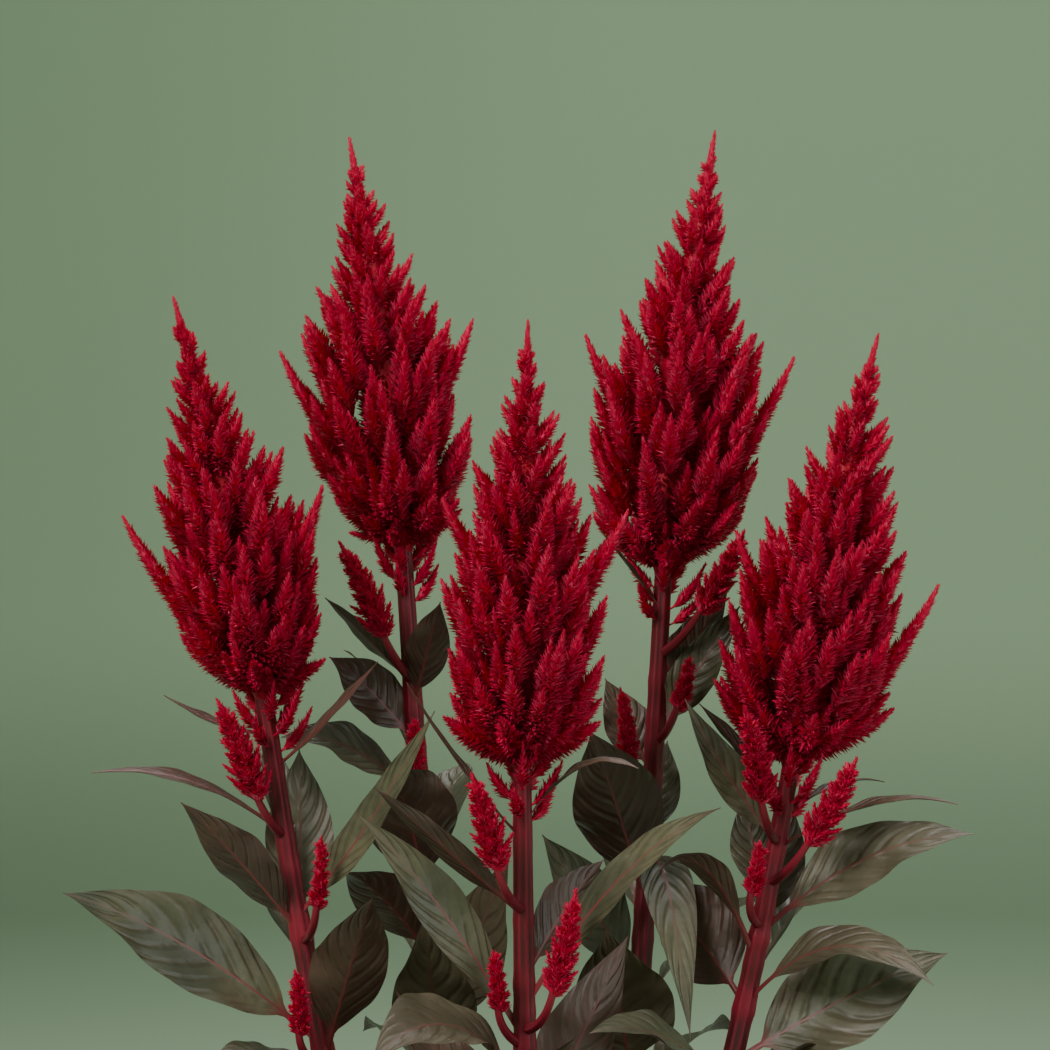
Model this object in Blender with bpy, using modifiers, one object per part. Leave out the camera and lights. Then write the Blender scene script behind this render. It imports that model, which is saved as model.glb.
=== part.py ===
"""Plume celosia in a plain clay pot.

Five leafy stems stand in holes in the soil. Each stem carries one large feathered plume on its top and a few
small plumes on short stalks. The pot stands on the ground at the origin, +Z is up and the viewer is at -Y.
"""

import math
import random

import bmesh
import bpy
from mathutils import Vector

MM = 0.001
UP = Vector((0.0, 0.0, 1.0))
TO_VIEWER = Vector((0.0, -1.0, 0.0))
GOLDEN_ANGLE = math.radians(137.508)

# Pot and soil, in millimetres
POT_HEIGHT = 135.0
POT_BASE_RADIUS = 54.0
POT_RIM_RADIUS = 82.0
POT_WALL = 6.0
POT_FLOOR = 9.0
RIM_HEIGHT = 27.0
RIM_STEP = 3.5
EDGE_ROUND = 1.5
POT_SIDES = 26
DRAIN_HOLES = 4
DRAIN_HOLE_RADIUS = 5.0
DRAIN_RING_RADIUS = 26.0
SOIL_LEVEL = 120.0
SOIL_CROWN = 3.0
SOIL_RINGS = 4
CLEARANCE = 0.3

# Stems, in millimetres
STEM_FOOT_RADIUS = 4.6
STEM_TOP_RADIUS = 3.3
STEM_RIBS = 5
RIB_DEPTH = 0.12
STEM_RINGS = 6
STEM_DEPTH_IN_SOIL = 38.0
PLUME_GAP = 1.0
STALK_RADIUS = 1.5
STALK_SIDES = 5

# Leaves, in millimetres
LEAF_THICKNESS = 0.8
PETIOLE_SHARE = 0.15
PETIOLE_HALF_WIDTH = 1.2
NARROW_LEAF = 12.0
BROAD_LEAF = 26.0
LEAF_FOLD = 0.22
LEAF_WAVE = 1.0
TIP_HALF_WIDTH = 0.35

# Plumes: how the half-width grows from the plume's base (0) to its apex (1), as shares of the widest
PLUME_OUTLINE = (
    (0.0, 0.20), (0.05, 0.62), (0.12, 0.88), (0.28, 1.0), (0.50, 0.92), (0.58, 0.76),
    (0.66, 0.55), (0.76, 0.37), (0.88, 0.19), (1.0, 0.0),
)
PLUME_BRANCHES = 17
CORE_SHARE = 0.42
CORE_POINTS = 5
SPIKE_START = 0.50
SPIKE_TIERS = 5
SPIKE_NECK = 0.5
SPIKE_FLARE = 1.0
SPIKE_NOTCH = 0.64
FLARE = 1.38
NECK = 0.66
BRANCH_SIDES = 3
SPIKE_SIDES = 5

# Each stem, in millimetres above the soil and from the pot's axis: where it leaves the soil and where its plume
# sits; then its plume's apex, widest half-width, and the tips of the long branches that break its outline.
STEMS = {
    "front": {
        "foot": (1, -28, 0),
        "top": (-1, -45, 176),
        "apex": (1, -52, 328),
        "width": 29,
        "leaders": ((35, -46, 264), (-28, -50, 268), (13, -77, 224), (-27, -56, 194), (25, -50, 192)),
    },
    "left": {
        "foot": (-54, -10, 0),
        "top": (-91, -5, 198),
        "apex": (-122, -14, 338),
        "width": 27,
        "leaders": ((-71, 4, 273), (-140, -8, 262), (-84, -12, 286), (-96, -38, 238)),
    },
    "right": {
        "foot": (54, -5, 0),
        "top": (93, 0, 174),
        "apex": (124, 4, 326),
        "width": 31,
        "leaders": ((145, 2, 238), (74, 4, 257), (129, 6, 194), (108, -30, 252), (66, -6, 205)),
    },
    "back_left": {
        "foot": (-24, 28, 0),
        "top": (-44, 55, 249),
        "apex": (-64, 62, 400),
        "width": 30,
        "leaders": ((-89, 58, 322), (-19, 62, 334), (-48, 28, 298), (-24, 46, 268)),
    },
    "back_right": {
        "foot": (34, 26, 0),
        "top": (50, 50, 241),
        "apex": (69, 58, 402),
        "width": 31,
        "leaders": ((22, 54, 328), (98, 60, 320), (42, 22, 290), (84, 56, 278)),
    },
}

# Small plumes: stem, height where the stalk leaves it, the plume's base and tip, and its width
SIDE_PLUMES = (
    ("left", 150, (-92, -17, 163), (-106, -26, 199), 16),
    ("left", 114, (-72, -23, 126), (-70, -29, 152), 7),
    ("left", 70, (-78, -21, 82), (-79, -28, 106), 9),
    ("back_left", 203, (-50, 33, 218), (-66, 24, 253), 15),
    ("back_left", 156, (-40, 34, 168), (-40, 29, 190), 9),
    ("front", 128, (-9, -59, 142), (-18, -67, 176), 15),
    ("front", 87, (9, -58, 100), (17, -64, 137), 13),
    ("front", 81, (-9, -46, 93), (-11, -51, 115), 8),
    ("back_right", 212, (62, 34, 227), (78, 23, 257), 14),
    ("back_right", 180, (54, 36, 192), (59, 31, 212), 8),
    ("back_right", 161, (37, 33, 173), (34, 26, 201), 9),
    ("right", 148, (82, -18, 162), (75, -34, 197), 14),
    ("right", 134, (97, -20, 148), (114, -28, 179), 15),
    ("right", 119, (78, -15, 130), (81, -21, 150), 8),
)

# Leaves in view: stem, height of the foot on the stem, tip, width, rise of the middle above a straight line, and
# roll: 0 has the upper face up, 90 has it towards the viewer and -90 shows the viewer the underside.
LEAVES = (
    ("left", 78, (-157, -38, 134), 30, 6, 55),
    ("left", 116, (-118, -30, 164), 19, 2, -55),
    ("left", 151, (-150, -15, 173), 8, 8, 20),
    ("left", 186, (-126, -2, 200), 5, -3, 20),
    ("left", 174, (-51, -22, 212), 7, -2, 30),
    ("left", 123, (-31, -50, 196), 14, -5, 50),
    ("left", 73, (-51, -62, 135), 26, 2, -60),
    ("left", 118, (-80, 18, 180), 24, 0, 60),
    ("left", 100, (-112, 46, 146), 24, 8, -20),
    ("left", 140, (-92, 34, 182), 17, 4, -30),
    ("back_left", 160, (-86, 22, 185), 19, 6, 40),
    ("back_left", 202, (-72, 46, 233), 9, 0, -30),
    ("back_left", 180, (-70, 45, 212), 21, 2, 50),
    ("back_left", 194, (-30, 20, 232), 16, 0, -60),
    ("back_left", 123, (-47, 5, 174), 34, 6, -75),
    ("back_left", 103, (-64, 10, 138), 24, 4, -60),
    ("back_left", 58, (-35, -18, 121), 30, 2, 70),
    ("back_left", 74, (-6, 2, 142), 27, 0, 60),
    ("back_left", 90, (-70, 104, 130), 27, 9, -35),
    ("back_left", 130, (-22, 98, 172), 23, 6, -35),
    ("back_left", 172, (-66, 92, 214), 16, 4, -35),
    ("front", 83, (-55, -52, 161), 18, 5, 55),
    ("front", 152, (-40, -62, 206), 6, -3, 20),
    ("front", 126, (-50, -76, 172), 11, 0, -40),
    ("front", 157, (38, -60, 177), 8, 10, 10),
    ("front", 94, (65, -80, 165), 14, 11, 50),
    ("front", 66, (-51, -88, 82), 30, 17, 35),
    ("front", 61, (17, -85, 89), 13, 3, 30),
    ("front", 104, (27, -16, 143), 18, 3, -60),
    ("front", 44, (36, -10, 116), 26, 0, -65),
    ("front", 30, (-44, -22, 98), 26, 0, -65),
    ("back_right", 123, (23, 8, 186), 32, 3, -75),
    ("back_right", 60, (28, -10, 119), 38, 0, 70),
    ("back_right", 140, (57, -26, 83), 18, 18, 50),
    ("back_right", 96, (6, 8, 150), 24, 0, 60),
    ("back_right", 204, (73, 44, 236), 16, -4, -50),
    ("back_right", 229, (27, 28, 257), 5, 0, 30),
    ("back_right", 182, (77, 40, 230), 17, 0, 50),
    ("back_right", 169, (29, 55, 203), 18, 0, 60),
    ("back_right", 143, (52, 62, 181), 16, 0, 60),
    ("back_right", 84, (92, 84, 122), 27, 9, -30),
    ("back_right", 112, (30, 100, 150), 25, 6, -35),
    ("back_right", 190, (66, 92, 226), 15, 3, -35),
    ("right", 148, (55, -22, 199), 14, -3, 60),
    ("right", 163, (61, -4, 197), 7, 0, -30),
    ("right", 107, (42, -46, 138), 12, 19, -20),
    ("right", 91, (44, 24, 130), 33, 4, -65),
    ("right", 145, (149, -25, 164), 8, 7, 15),
    ("right", 116, (155, -20, 152), 26, 9, 50),
    ("right", 91, (138, -52, 103), 21, 17, 40),
    ("right", 71, (146, -15, 111), 36, 2, 60),
    ("right", 156, (128, 24, 168), 5, 5, 10),
    ("right", 116, (95, 22, 161), 20, 0, 60),
    ("right", 126, (77, 14, 164), 17, 0, 60),
    ("right", 63, (22, -52, 88), 20, 8, 35),
    ("right", 96, (118, 52, 138), 25, 7, -25),
)


def share(start, end, t):
    """The value that lies a share t of the way from start to end."""
    return start + (end - start) * t


def point(values):
    """A point given above the soil and in millimetres, as a vector in the part's frame in metres."""
    x, y, z = values
    return Vector((x, y, z + SOIL_LEVEL)) * MM


def bezier(start, middle, end, t):
    """A point on the quadratic curve that three points control."""
    return start * (1 - t) ** 2 + middle * 2 * t * (1 - t) + end * t * t


def material(name, colour, roughness):
    """A plain matt finish for the model."""
    made = bpy.data.materials.new(name)
    made.use_nodes = True
    shader = made.node_tree.nodes["Principled BSDF"]
    shader.inputs["Base Color"].default_value = (*colour, 1.0)
    shader.inputs["Roughness"].default_value = roughness
    shader.inputs["Metallic"].default_value = 0.0
    made.diffuse_color = (*colour, 1.0)
    return made


def add_object(name, mesh, finish, collection):
    """A mesh as an object of its own, with one finish."""
    made = bpy.data.objects.new(name, mesh)
    if not mesh.materials:
        mesh.materials.append(finish)
    collection.objects.link(made)
    return made


def mesh_from(bm, name):
    """Closes a bmesh into a mesh with its faces pointing out."""
    bmesh.ops.recalc_face_normals(bm, faces=bm.faces)
    mesh = bpy.data.meshes.new(name)
    bm.to_mesh(mesh)
    bm.free()
    return mesh


def loft(rings, tip=None):
    """A closed body through rings of equal count, capped flat, or brought to a point where tip is given."""
    bm = bmesh.new()
    loops = [[bm.verts.new(p) for p in ring] for ring in rings]
    count = len(loops[0])
    bm.faces.new(list(reversed(loops[0])))
    for low, high in zip(loops, loops[1:]):
        for i in range(count):
            j = (i + 1) % count
            bm.faces.new((low[i], low[j], high[j], high[i]))
    if tip is None:
        bm.faces.new(loops[-1])
    else:
        point_vert = bm.verts.new(tip)
        for i in range(count):
            bm.faces.new((loops[-1][i], loops[-1][(i + 1) % count], point_vert))
    bmesh.ops.triangulate(bm, faces=bm.faces)
    return mesh_from(bm, "loft")


def ring(centre, along, radii, turn=0.0):
    """Points round a centre, square to a direction, one for each radius."""
    side = along.cross(Vector((0.31, -0.95, 0.05))).normalized()
    front = along.cross(side).normalized()
    step = 2 * math.pi / len(radii)
    return [
        centre + (side * math.cos(turn + i * step) + front * math.sin(turn + i * step)) * radius
        for i, radius in enumerate(radii)
    ]


def turned(name, profile, steps, finish, collection):
    """A body of revolution: an open profile in the XZ plane, run round Z by a Screw modifier."""
    mesh = bpy.data.meshes.new(name)
    points = [(radius * MM, 0.0, height * MM) for radius, height in profile]
    edges = [(i, i + 1) for i in range(len(points) - 1)]
    mesh.from_pydata(points, edges, [])
    made = add_object(name, mesh, finish, collection)
    screw = made.modifiers.new("turn", "SCREW")
    screw.steps = steps
    screw.render_steps = steps
    screw.use_merge_vertices = True
    screw.merge_threshold = 0.0001
    screw.use_smooth_shade = True
    return made


def join_all(base, pieces, name):
    """Joins a collection of overlapping closed meshes to a base by one Boolean union, and applies it."""
    bool_parts = bpy.data.collections.new(name + "_pieces")
    bpy.context.scene.collection.children.link(bool_parts)
    for i, mesh in enumerate(pieces):
        bool_parts.objects.link(bpy.data.objects.new(f"{name}_piece_{i}", mesh))
    union = base.modifiers.new("join", "BOOLEAN")
    union.operation = "UNION"
    union.operand_type = "COLLECTION"
    union.collection = bool_parts
    union.solver = "MANIFOLD"
    bpy.context.view_layer.update()
    graph = bpy.context.evaluated_depsgraph_get()
    joined = bpy.data.meshes.new_from_object(base.evaluated_get(graph))
    base.modifiers.remove(union)
    base.data = joined
    for piece in list(bool_parts.objects):
        bpy.data.objects.remove(piece)
    bpy.data.collections.remove(bool_parts)


def cut_cylinders(target, places, radius, bottom, top, collection):
    """Cuts upright round holes out of a body, each by its own cutter."""
    for i, (x, y) in enumerate(places):
        bm = bmesh.new()
        bmesh.ops.create_cone(
            bm, cap_ends=True, segments=10, radius1=radius * MM, radius2=radius * MM, depth=(top - bottom) * MM
        )
        mesh = mesh_from(bm, f"{target.name}_hole")
        cutter = bpy.data.objects.new(f"{target.name}_cutter_{i}", mesh)
        cutter.location = (x * MM, y * MM, (bottom + top) / 2 * MM)
        cutter.hide_render = True
        cutter.display_type = "WIRE"
        collection.objects.link(cutter)
        cut = target.modifiers.new(f"hole_{i}", "BOOLEAN")
        cut.operation = "DIFFERENCE"
        cut.object = cutter
        cut.solver = "EXACT"


def wall_radius(height):
    """The pot's outer radius below the rim band, at a height."""
    return share(POT_BASE_RADIUS, POT_RIM_RADIUS - RIM_STEP, height / POT_HEIGHT)


def make_pot(finish, collection, cutters):
    """The clay pot: a tapered wall, a thicker rim band, and drain holes through the floor."""
    rim_bottom = POT_HEIGHT - RIM_HEIGHT
    profile = [
        (POT_RIM_RADIUS - EDGE_ROUND, POT_HEIGHT),
        (POT_RIM_RADIUS, POT_HEIGHT - EDGE_ROUND),
        (POT_RIM_RADIUS - 1.0, rim_bottom + EDGE_ROUND),
        (POT_RIM_RADIUS - 2.5, rim_bottom),
        (wall_radius(rim_bottom), rim_bottom - 0.5),
        (POT_BASE_RADIUS + 0.8, EDGE_ROUND),
        (POT_BASE_RADIUS - EDGE_ROUND, 0.0),
        (0.0, 0.0),
    ]
    inside = [
        (0.0, POT_FLOOR),
        (wall_radius(POT_FLOOR) - POT_WALL, POT_FLOOR),
        (wall_radius(POT_HEIGHT) - POT_WALL, POT_HEIGHT - EDGE_ROUND),
        (wall_radius(POT_HEIGHT) - POT_WALL + EDGE_ROUND, POT_HEIGHT),
    ]
    pot = turned("pot", profile + inside + profile[:1], POT_SIDES, finish, collection)
    places = [
        (DRAIN_RING_RADIUS * math.cos(a), DRAIN_RING_RADIUS * math.sin(a))
        for a in (math.tau * (i + 0.5) / DRAIN_HOLES for i in range(DRAIN_HOLES))
    ]
    cut_cylinders(pot, places, DRAIN_HOLE_RADIUS, -5.0, POT_FLOOR + 5.0, cutters)
    return pot


def soil_height(x, y, edge):
    """The soil's uneven surface: a low crown with clods, level where it meets the pot."""
    clods = 1.3 * math.sin(0.21 * x + 1.0) * math.cos(0.17 * y) + 0.9 * math.sin(0.33 * y + 0.12 * x)
    return SOIL_LEVEL + (SOIL_CROWN + clods) * (1 - edge**2)


def make_soil(finish, collection, cutters):
    """The soil: it fills the pot with a hair's clearance, and each stem stands in a plain hole in it."""
    floor = POT_FLOOR + CLEARANCE
    low_radius = wall_radius(POT_FLOOR) - POT_WALL - CLEARANCE
    top_radius = wall_radius(SOIL_LEVEL) - POT_WALL - CLEARANCE
    bm = bmesh.new()
    profile = [Vector((0, 0, floor)), Vector((low_radius, 0, floor)), Vector((top_radius, 0, SOIL_LEVEL))]
    profile += [Vector((top_radius * k / SOIL_RINGS, 0, SOIL_LEVEL)) for k in range(SOIL_RINGS - 1, -1, -1)]
    verts = [bm.verts.new(p) for p in profile]
    edges = [bm.edges.new(pair) for pair in zip(verts, verts[1:])]
    bmesh.ops.spin(
        bm, geom=verts + edges, axis=UP, cent=(0, 0, 0), angle=math.tau, steps=POT_SIDES // 2, use_merge=True
    )
    bmesh.ops.remove_doubles(bm, verts=bm.verts, dist=0.01)
    for vert in bm.verts:
        if vert.co.z > SOIL_LEVEL - 1:
            edge = min(1.0, vert.co.xy.length / top_radius)
            vert.co.z = soil_height(vert.co.x, vert.co.y, edge)
    bmesh.ops.scale(bm, vec=(MM, MM, MM), verts=bm.verts)
    bmesh.ops.triangulate(bm, faces=bm.faces)
    soil = add_object("soil", mesh_from(bm, "soil"), finish, collection)
    hole_radius = STEM_FOOT_RADIUS * (1 + RIB_DEPTH) + 0.8
    places = [stem["foot"][:2] for stem in STEMS.values()]
    bottom = SOIL_LEVEL - STEM_DEPTH_IN_SOIL - CLEARANCE
    cut_cylinders(soil, places, hole_radius, bottom, SOIL_LEVEL + 20.0, cutters)
    return soil


def stem_point(stem, height):
    """A point on a stem's centre line at a height above the soil, in metres. Below the soil it stands upright."""
    foot, top = Vector(stem["foot"]), Vector(stem["top"])
    if height <= 0:
        return point((foot.x, foot.y, height))
    t = height / top.z
    bend = 0.06 * (top - foot).xy.length * math.sin(math.pi * t)
    lean = (top - foot).xy.normalized() * bend
    return point((share(foot.x, top.x, t) + lean.x, share(foot.y, top.y, t) + lean.y, height))


def stem_mesh(stem):
    """A ribbed stem from its foot in the soil to just under its plume."""
    top_height = stem["top"][2] - PLUME_GAP
    heights = [-STEM_DEPTH_IN_SOIL, 0.0] + [top_height * k / STEM_RINGS for k in range(1, STEM_RINGS + 1)]
    rings = []
    for height in heights:
        radius = share(STEM_FOOT_RADIUS, STEM_TOP_RADIUS, max(0.0, height) / top_height) * MM
        radii = [radius * (1 + RIB_DEPTH * (-1) ** i) for i in range(2 * STEM_RIBS)]
        along = UP if height <= 0 else stem_point(stem, height + 1) - stem_point(stem, height - 1)
        if height == top_height:
            along = UP
        rings.append(ring(stem_point(stem, height), along.normalized(), radii))
    return loft(rings)


def side_plume_curve(row):
    """The three points that control a small plume's bent axis."""
    start, end = point(row[2]), point(row[3])
    middle = share(start, end, 0.5) + (end - start).cross(TO_VIEWER).normalized() * 1.5 * MM
    return start, middle, end


def stalk_mesh(row):
    """The short stalk that carries a small plume: it leaves the stem and ends square to the plume's axis."""
    foot, next_point, _ = side_plume_curve(row)
    heading = (next_point - foot).normalized()
    start = stem_point(STEMS[row[0]], row[1])
    end = foot - heading * CLEARANCE * MM
    middle = end - heading * 0.45 * (end - start).length
    rings = []
    for t in (0.0, 0.5, 1.0):
        along = share(middle - start, end - middle, t).normalized()
        rings.append(ring(bezier(start, middle, end, t), along, [STALK_RADIUS * MM] * STALK_SIDES))
    return loft(rings)


def leaf_half_width(width, t):
    """Half the width of a leaf in millimetres, a share t along it: a slim petiole, then a lance-shaped blade."""
    if t <= PETIOLE_SHARE:
        return PETIOLE_HALF_WIDTH
    u = (t - PETIOLE_SHARE) / (1 - PETIOLE_SHARE)
    blade = 0.5 * width * 4.24 * u**0.85 * (1 - u) ** 1.3
    return max(blade, share(PETIOLE_HALF_WIDTH, TIP_HALF_WIDTH, u))


def leaf_mesh(start, tip, width, bow, roll, seed):
    """A thin arched blade: a flat grid laid along the leaf's curve, folded at the rib, waved, then thickened."""
    rows = 5 if width > BROAD_LEAF else 4
    middle = share(start, tip, 0.5) + UP * 2 * bow * MM
    face = UP * math.cos(math.radians(roll)) + TO_VIEWER * math.sin(math.radians(roll))
    columns = 1 if width < NARROW_LEAF else 2
    bm = bmesh.new()
    bmesh.ops.create_grid(bm, x_segments=columns, y_segments=rows, size=1.0)
    for vert in bm.verts:
        across = vert.co.x
        t = (vert.co.y + 1) / 2
        centre = bezier(start, middle, tip, t)
        along = share(middle - start, tip - middle, t).normalized()
        up = (face - along * face.dot(along)).normalized()
        side = along.cross(up)
        half = leaf_half_width(width, t)
        wave = LEAF_WAVE * math.sin(9.0 * t + seed + 1.4 * across) * abs(across) * min(1.0, half / 6)
        lift = LEAF_FOLD * half * abs(across) ** 1.3 * (0 if columns == 1 else 1)
        vert.co = centre + side * across * half * MM + up * (lift + wave) * MM
    bmesh.ops.triangulate(bm, faces=bm.faces)
    bmesh.ops.recalc_face_normals(bm, faces=bm.faces)
    skin = bm.faces[:]
    bmesh.ops.solidify(bm, geom=skin, thickness=LEAF_THICKNESS * MM)
    return mesh_from(bm, "leaf")


def low_leaves(name):
    """The lowest leaves, below what the viewer sees: they arch outward over the pot's rim."""
    foot = Vector(STEMS[name]["foot"])
    outward = math.atan2(foot.y, foot.x)
    rows = []
    for i, (height, swing) in enumerate(((14, -0.7), (28, 0.7), (44, 0.0))):
        heading = Vector((math.cos(outward + swing), math.sin(outward + swing), 0))
        tip = foot + heading * (62 - 4 * i) + UP * (height + 14 + 9 * i)
        rows.append((name, height, tip, 24 + 3 * i, 11, 25 * -heading.y))
    return rows


def make_stem(name, finishes, collection):
    """A leafy stem: the ribbed stem, its stalks and its leaves, fused in one body."""
    stem = STEMS[name]
    base = add_object("stem_" + name, stem_mesh(stem), finishes["stem"], collection)
    base.data.materials.append(finishes["leaf"])
    pieces = [stalk_mesh(row) for row in SIDE_PLUMES if row[0] == name]
    rows = [row for row in LEAVES if row[0] == name] + low_leaves(name)
    for seed, (_, height, tip, width, bow, roll) in enumerate(rows):
        mesh = leaf_mesh(stem_point(stem, height), point(tip), width, bow, roll, seed)
        for face in mesh.polygons:
            face.material_index = 1
        pieces.append(mesh)
    for mesh in pieces:
        mesh.materials.append(finishes["stem"])
        mesh.materials.append(finishes["leaf"])
    join_all(base, pieces, base.name)
    return base


def feather(start, middle, tip, radius, tiers, sides, turn):
    """One feathery branch: whorls of pointed florets stand out of it in tiers, each turned against the last."""
    rings = []
    for k in range(tiers):
        for place, flare in ((0.0, NECK), (0.86, FLARE)):
            t = (k + place) / (tiers + 0.6)
            swell = radius * min(1.0, 0.5 + 1.6 * t) * (1 - t**2.4)
            along = share(middle - start, tip - middle, t).normalized()
            twist = turn + (k + (0 if place else -0.5)) * math.pi / sides
            rings.append(ring(bezier(start, middle, tip, t), along, [swell * flare * MM] * sides, twist))
    return loft(rings, tip)


def outline(height_share):
    """The plume's half-width at a share of its height, as a share of its widest."""
    for (h0, w0), (h1, w1) in zip(PLUME_OUTLINE, PLUME_OUTLINE[1:]):
        if height_share <= h1:
            return share(w0, w1, (height_share - h0) / (h1 - h0))
    return 0.0


def plume_axis(stem, t):
    """A plume's bent axis from its base (0) to its apex (1): it leaves the stem upright, then leans."""
    base, apex = point(stem["top"]), point(stem["apex"])
    upright = base + UP * (apex - base).length * 0.5
    return bezier(base, share(share(base, apex, 0.5), upright, 0.35), apex, t)


def plume_core(stem):
    """The heart of a plume: plain low down, where branches hide it, then star-shaped tiers up to the apex."""
    width = stem["width"]
    shape = [(0.0, STEM_TOP_RADIUS, 1.0, 0.0), (0.06, 9.0, 1.0, 0.0), (0.24, width * CORE_SHARE, 1.0, 0.0)]
    step = (1 - SPIKE_START) / (SPIKE_TIERS + 0.6)
    for k in range(SPIKE_TIERS):
        low, high = SPIKE_START + k * step, SPIKE_START + (k + 0.85) * step
        turn = k * math.pi / CORE_POINTS
        shape.append((low, width * outline(low) * SPIKE_NECK, 1.0, turn))
        shape.append((high, width * outline(high) * SPIKE_FLARE + 1.2, SPIKE_NOTCH, turn))
    rings = []
    for t, radius, notch, turn in shape:
        along = UP if t == 0 else plume_axis(stem, t + 0.01) - plume_axis(stem, t - 0.01)
        radii = [radius * MM, radius * notch * MM] * CORE_POINTS
        rings.append(ring(plume_axis(stem, t), along.normalized(), radii, turn))
    return loft(rings, point(stem["apex"]))


def make_plume(name, finish, collection):
    """A main plume: its tiered core, with feathered branches that rise round the lower two thirds of it."""
    stem = STEMS[name]
    base, apex = point(stem["top"]), point(stem["apex"])
    height = (apex - base).length
    draw = random.Random("florets " + name)
    core = add_object("plume_" + name, plume_core(stem), finish, collection)
    tips = [point(tip) for tip in stem["leaders"]]
    for i in range(PLUME_BRANCHES):
        t = 0.09 + 0.58 * (i / (PLUME_BRANCHES - 1)) ** 0.85
        turn = i * GOLDEN_ANGLE + draw.uniform(-0.25, 0.25)
        reach = stem["width"] * outline(t) * draw.uniform(0.88, 1.04) * MM
        tips.append(plume_axis(stem, t) + Vector((math.cos(turn), math.sin(turn), 0)) * reach)
    pieces = []
    for i, tip in enumerate(tips):
        level = (tip - base).z / (apex - base).z
        spread = (tip - plume_axis(stem, max(0.0, min(1.0, level)))).length
        drop = spread / math.tan(math.radians(share(56, 27, min(1.0, level / 0.5))))
        foot = plume_axis(stem, max(0.10, level - drop / height))
        rise = (tip - foot).dot(UP) * UP
        middle = foot + rise * 0.36 + (tip - foot - rise) * 0.66
        length = (tip - foot).length / MM
        radius = max(3.2, min(6.6, 1.6 + 0.13 * length))
        pieces.append(feather(foot, middle, tip, radius, 2 if length < 36 else 3, BRANCH_SIDES, i * 0.7))
    join_all(core, pieces, core.name)
    return core


def make_side_plume(index, row, finish, collection):
    """A small plume on a stalk: one stout feathered spike."""
    owner, width = row[0], row[4]
    number = 1 + sum(1 for earlier in SIDE_PLUMES[:index] if earlier[0] == owner)
    start, middle, end = side_plume_curve(row)
    tiers = 3 if (end - start).length < 24 * MM else 5
    mesh = feather(start, middle, end, width / 2, tiers, SPIKE_SIDES, index * 0.9)
    return add_object(f"side_plume_{owner}_{number}", mesh, finish, collection)


def clear_scene():
    """Removes the objects that the scene starts with."""
    for obj in list(bpy.data.objects):
        bpy.data.objects.remove(obj)


def main():
    clear_scene()
    plant = bpy.data.collections.new("plume_celosia")
    cutters = bpy.data.collections.new("cutters")
    bpy.context.scene.collection.children.link(plant)
    bpy.context.scene.collection.children.link(cutters)
    clay = material("clay", (0.45, 0.19, 0.10), 0.85)
    soil = material("soil", (0.035, 0.022, 0.015), 0.95)
    plume = material("plume", (0.38, 0.004, 0.02), 0.6)
    finishes = {
        "stem": material("stem", (0.10, 0.012, 0.02), 0.45),
        "leaf": material("leaf", (0.055, 0.045, 0.025), 0.5),
    }
    make_pot(clay, plant, cutters)
    make_soil(soil, plant, cutters)
    for name in STEMS:
        make_stem(name, finishes, plant)
        make_plume(name, plume, plant)
    for index, row in enumerate(SIDE_PLUMES):
        make_side_plume(index, row, plume, plant)


main()
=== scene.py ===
"""Plume celosia in a clay pot: florets, leaves, stems, pot and soil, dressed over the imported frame.

Lengths in the tables are millimetres. Heights in them are above the soil. x and y run from the pot's axis,
with the viewer at -Y. Meshes are in metres.
"""

from __future__ import annotations

import logging
import math
import random
from dataclasses import dataclass, field
from enum import Enum
from typing import Any, ClassVar, Sequence

import bmesh
import bpy
import numpy as np
from mathutils import Matrix, Vector

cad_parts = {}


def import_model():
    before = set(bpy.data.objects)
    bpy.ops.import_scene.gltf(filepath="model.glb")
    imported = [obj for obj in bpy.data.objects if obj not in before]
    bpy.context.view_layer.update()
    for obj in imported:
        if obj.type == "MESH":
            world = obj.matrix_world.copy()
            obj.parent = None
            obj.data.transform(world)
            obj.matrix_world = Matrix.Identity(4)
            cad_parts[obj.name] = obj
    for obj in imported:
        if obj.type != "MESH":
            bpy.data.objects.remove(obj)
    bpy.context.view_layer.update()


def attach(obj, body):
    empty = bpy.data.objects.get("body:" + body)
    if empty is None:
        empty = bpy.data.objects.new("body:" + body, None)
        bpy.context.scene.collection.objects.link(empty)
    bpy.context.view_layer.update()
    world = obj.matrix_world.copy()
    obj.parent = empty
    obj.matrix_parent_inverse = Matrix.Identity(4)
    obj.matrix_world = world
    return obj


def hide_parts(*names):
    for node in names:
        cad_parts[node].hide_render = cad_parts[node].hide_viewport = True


LOG = logging.getLogger("plume_celosia")

MM = 0.001
SOIL_LEVEL = 120.0
GOLDEN_ANGLE = math.radians(137.508)
UP = np.array((0.0, 0.0, 1.0))
TO_VIEWER = np.array((0.0, -1.0, 0.0))
ODD_WAY = np.array((0.31, -0.95, 0.05))  # hardly any stem, stalk or spike runs this way
STEM_BEND = 0.06
VEIN_SCALE = 100.0  # side veins are counted in hundredths in a mark
FIRST_VEIN = 5.0  # keeps that count above nought
RIB_REACH = 9.0  # millimetres from a leaf's midrib at which its distance mark is one

Point = tuple[float, float, float]
Colour = tuple[float, float, float]
Curve = tuple[np.ndarray, np.ndarray, np.ndarray]


class Slot(Enum):
    """The record's material slots."""

    CLAY = "clay"
    SOIL = "soil"
    LEAFY_STEM = "leafy_stem"
    PLUME = "plume"


@dataclass(frozen=True)
class StemPlan:
    """Where one stem and its plume stand.

    Attributes:
        name: the stem's place in the pot.
        foot: where it leaves the soil.
        top: where its plume sits.
        apex: the plume's tip.
        width: the plume's widest half-width.
        leaders: tips of the long branches that break the plume's outline.
    """

    name: str
    foot: Point
    top: Point
    apex: Point
    width: float
    leaders: tuple[Point, ...]


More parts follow.
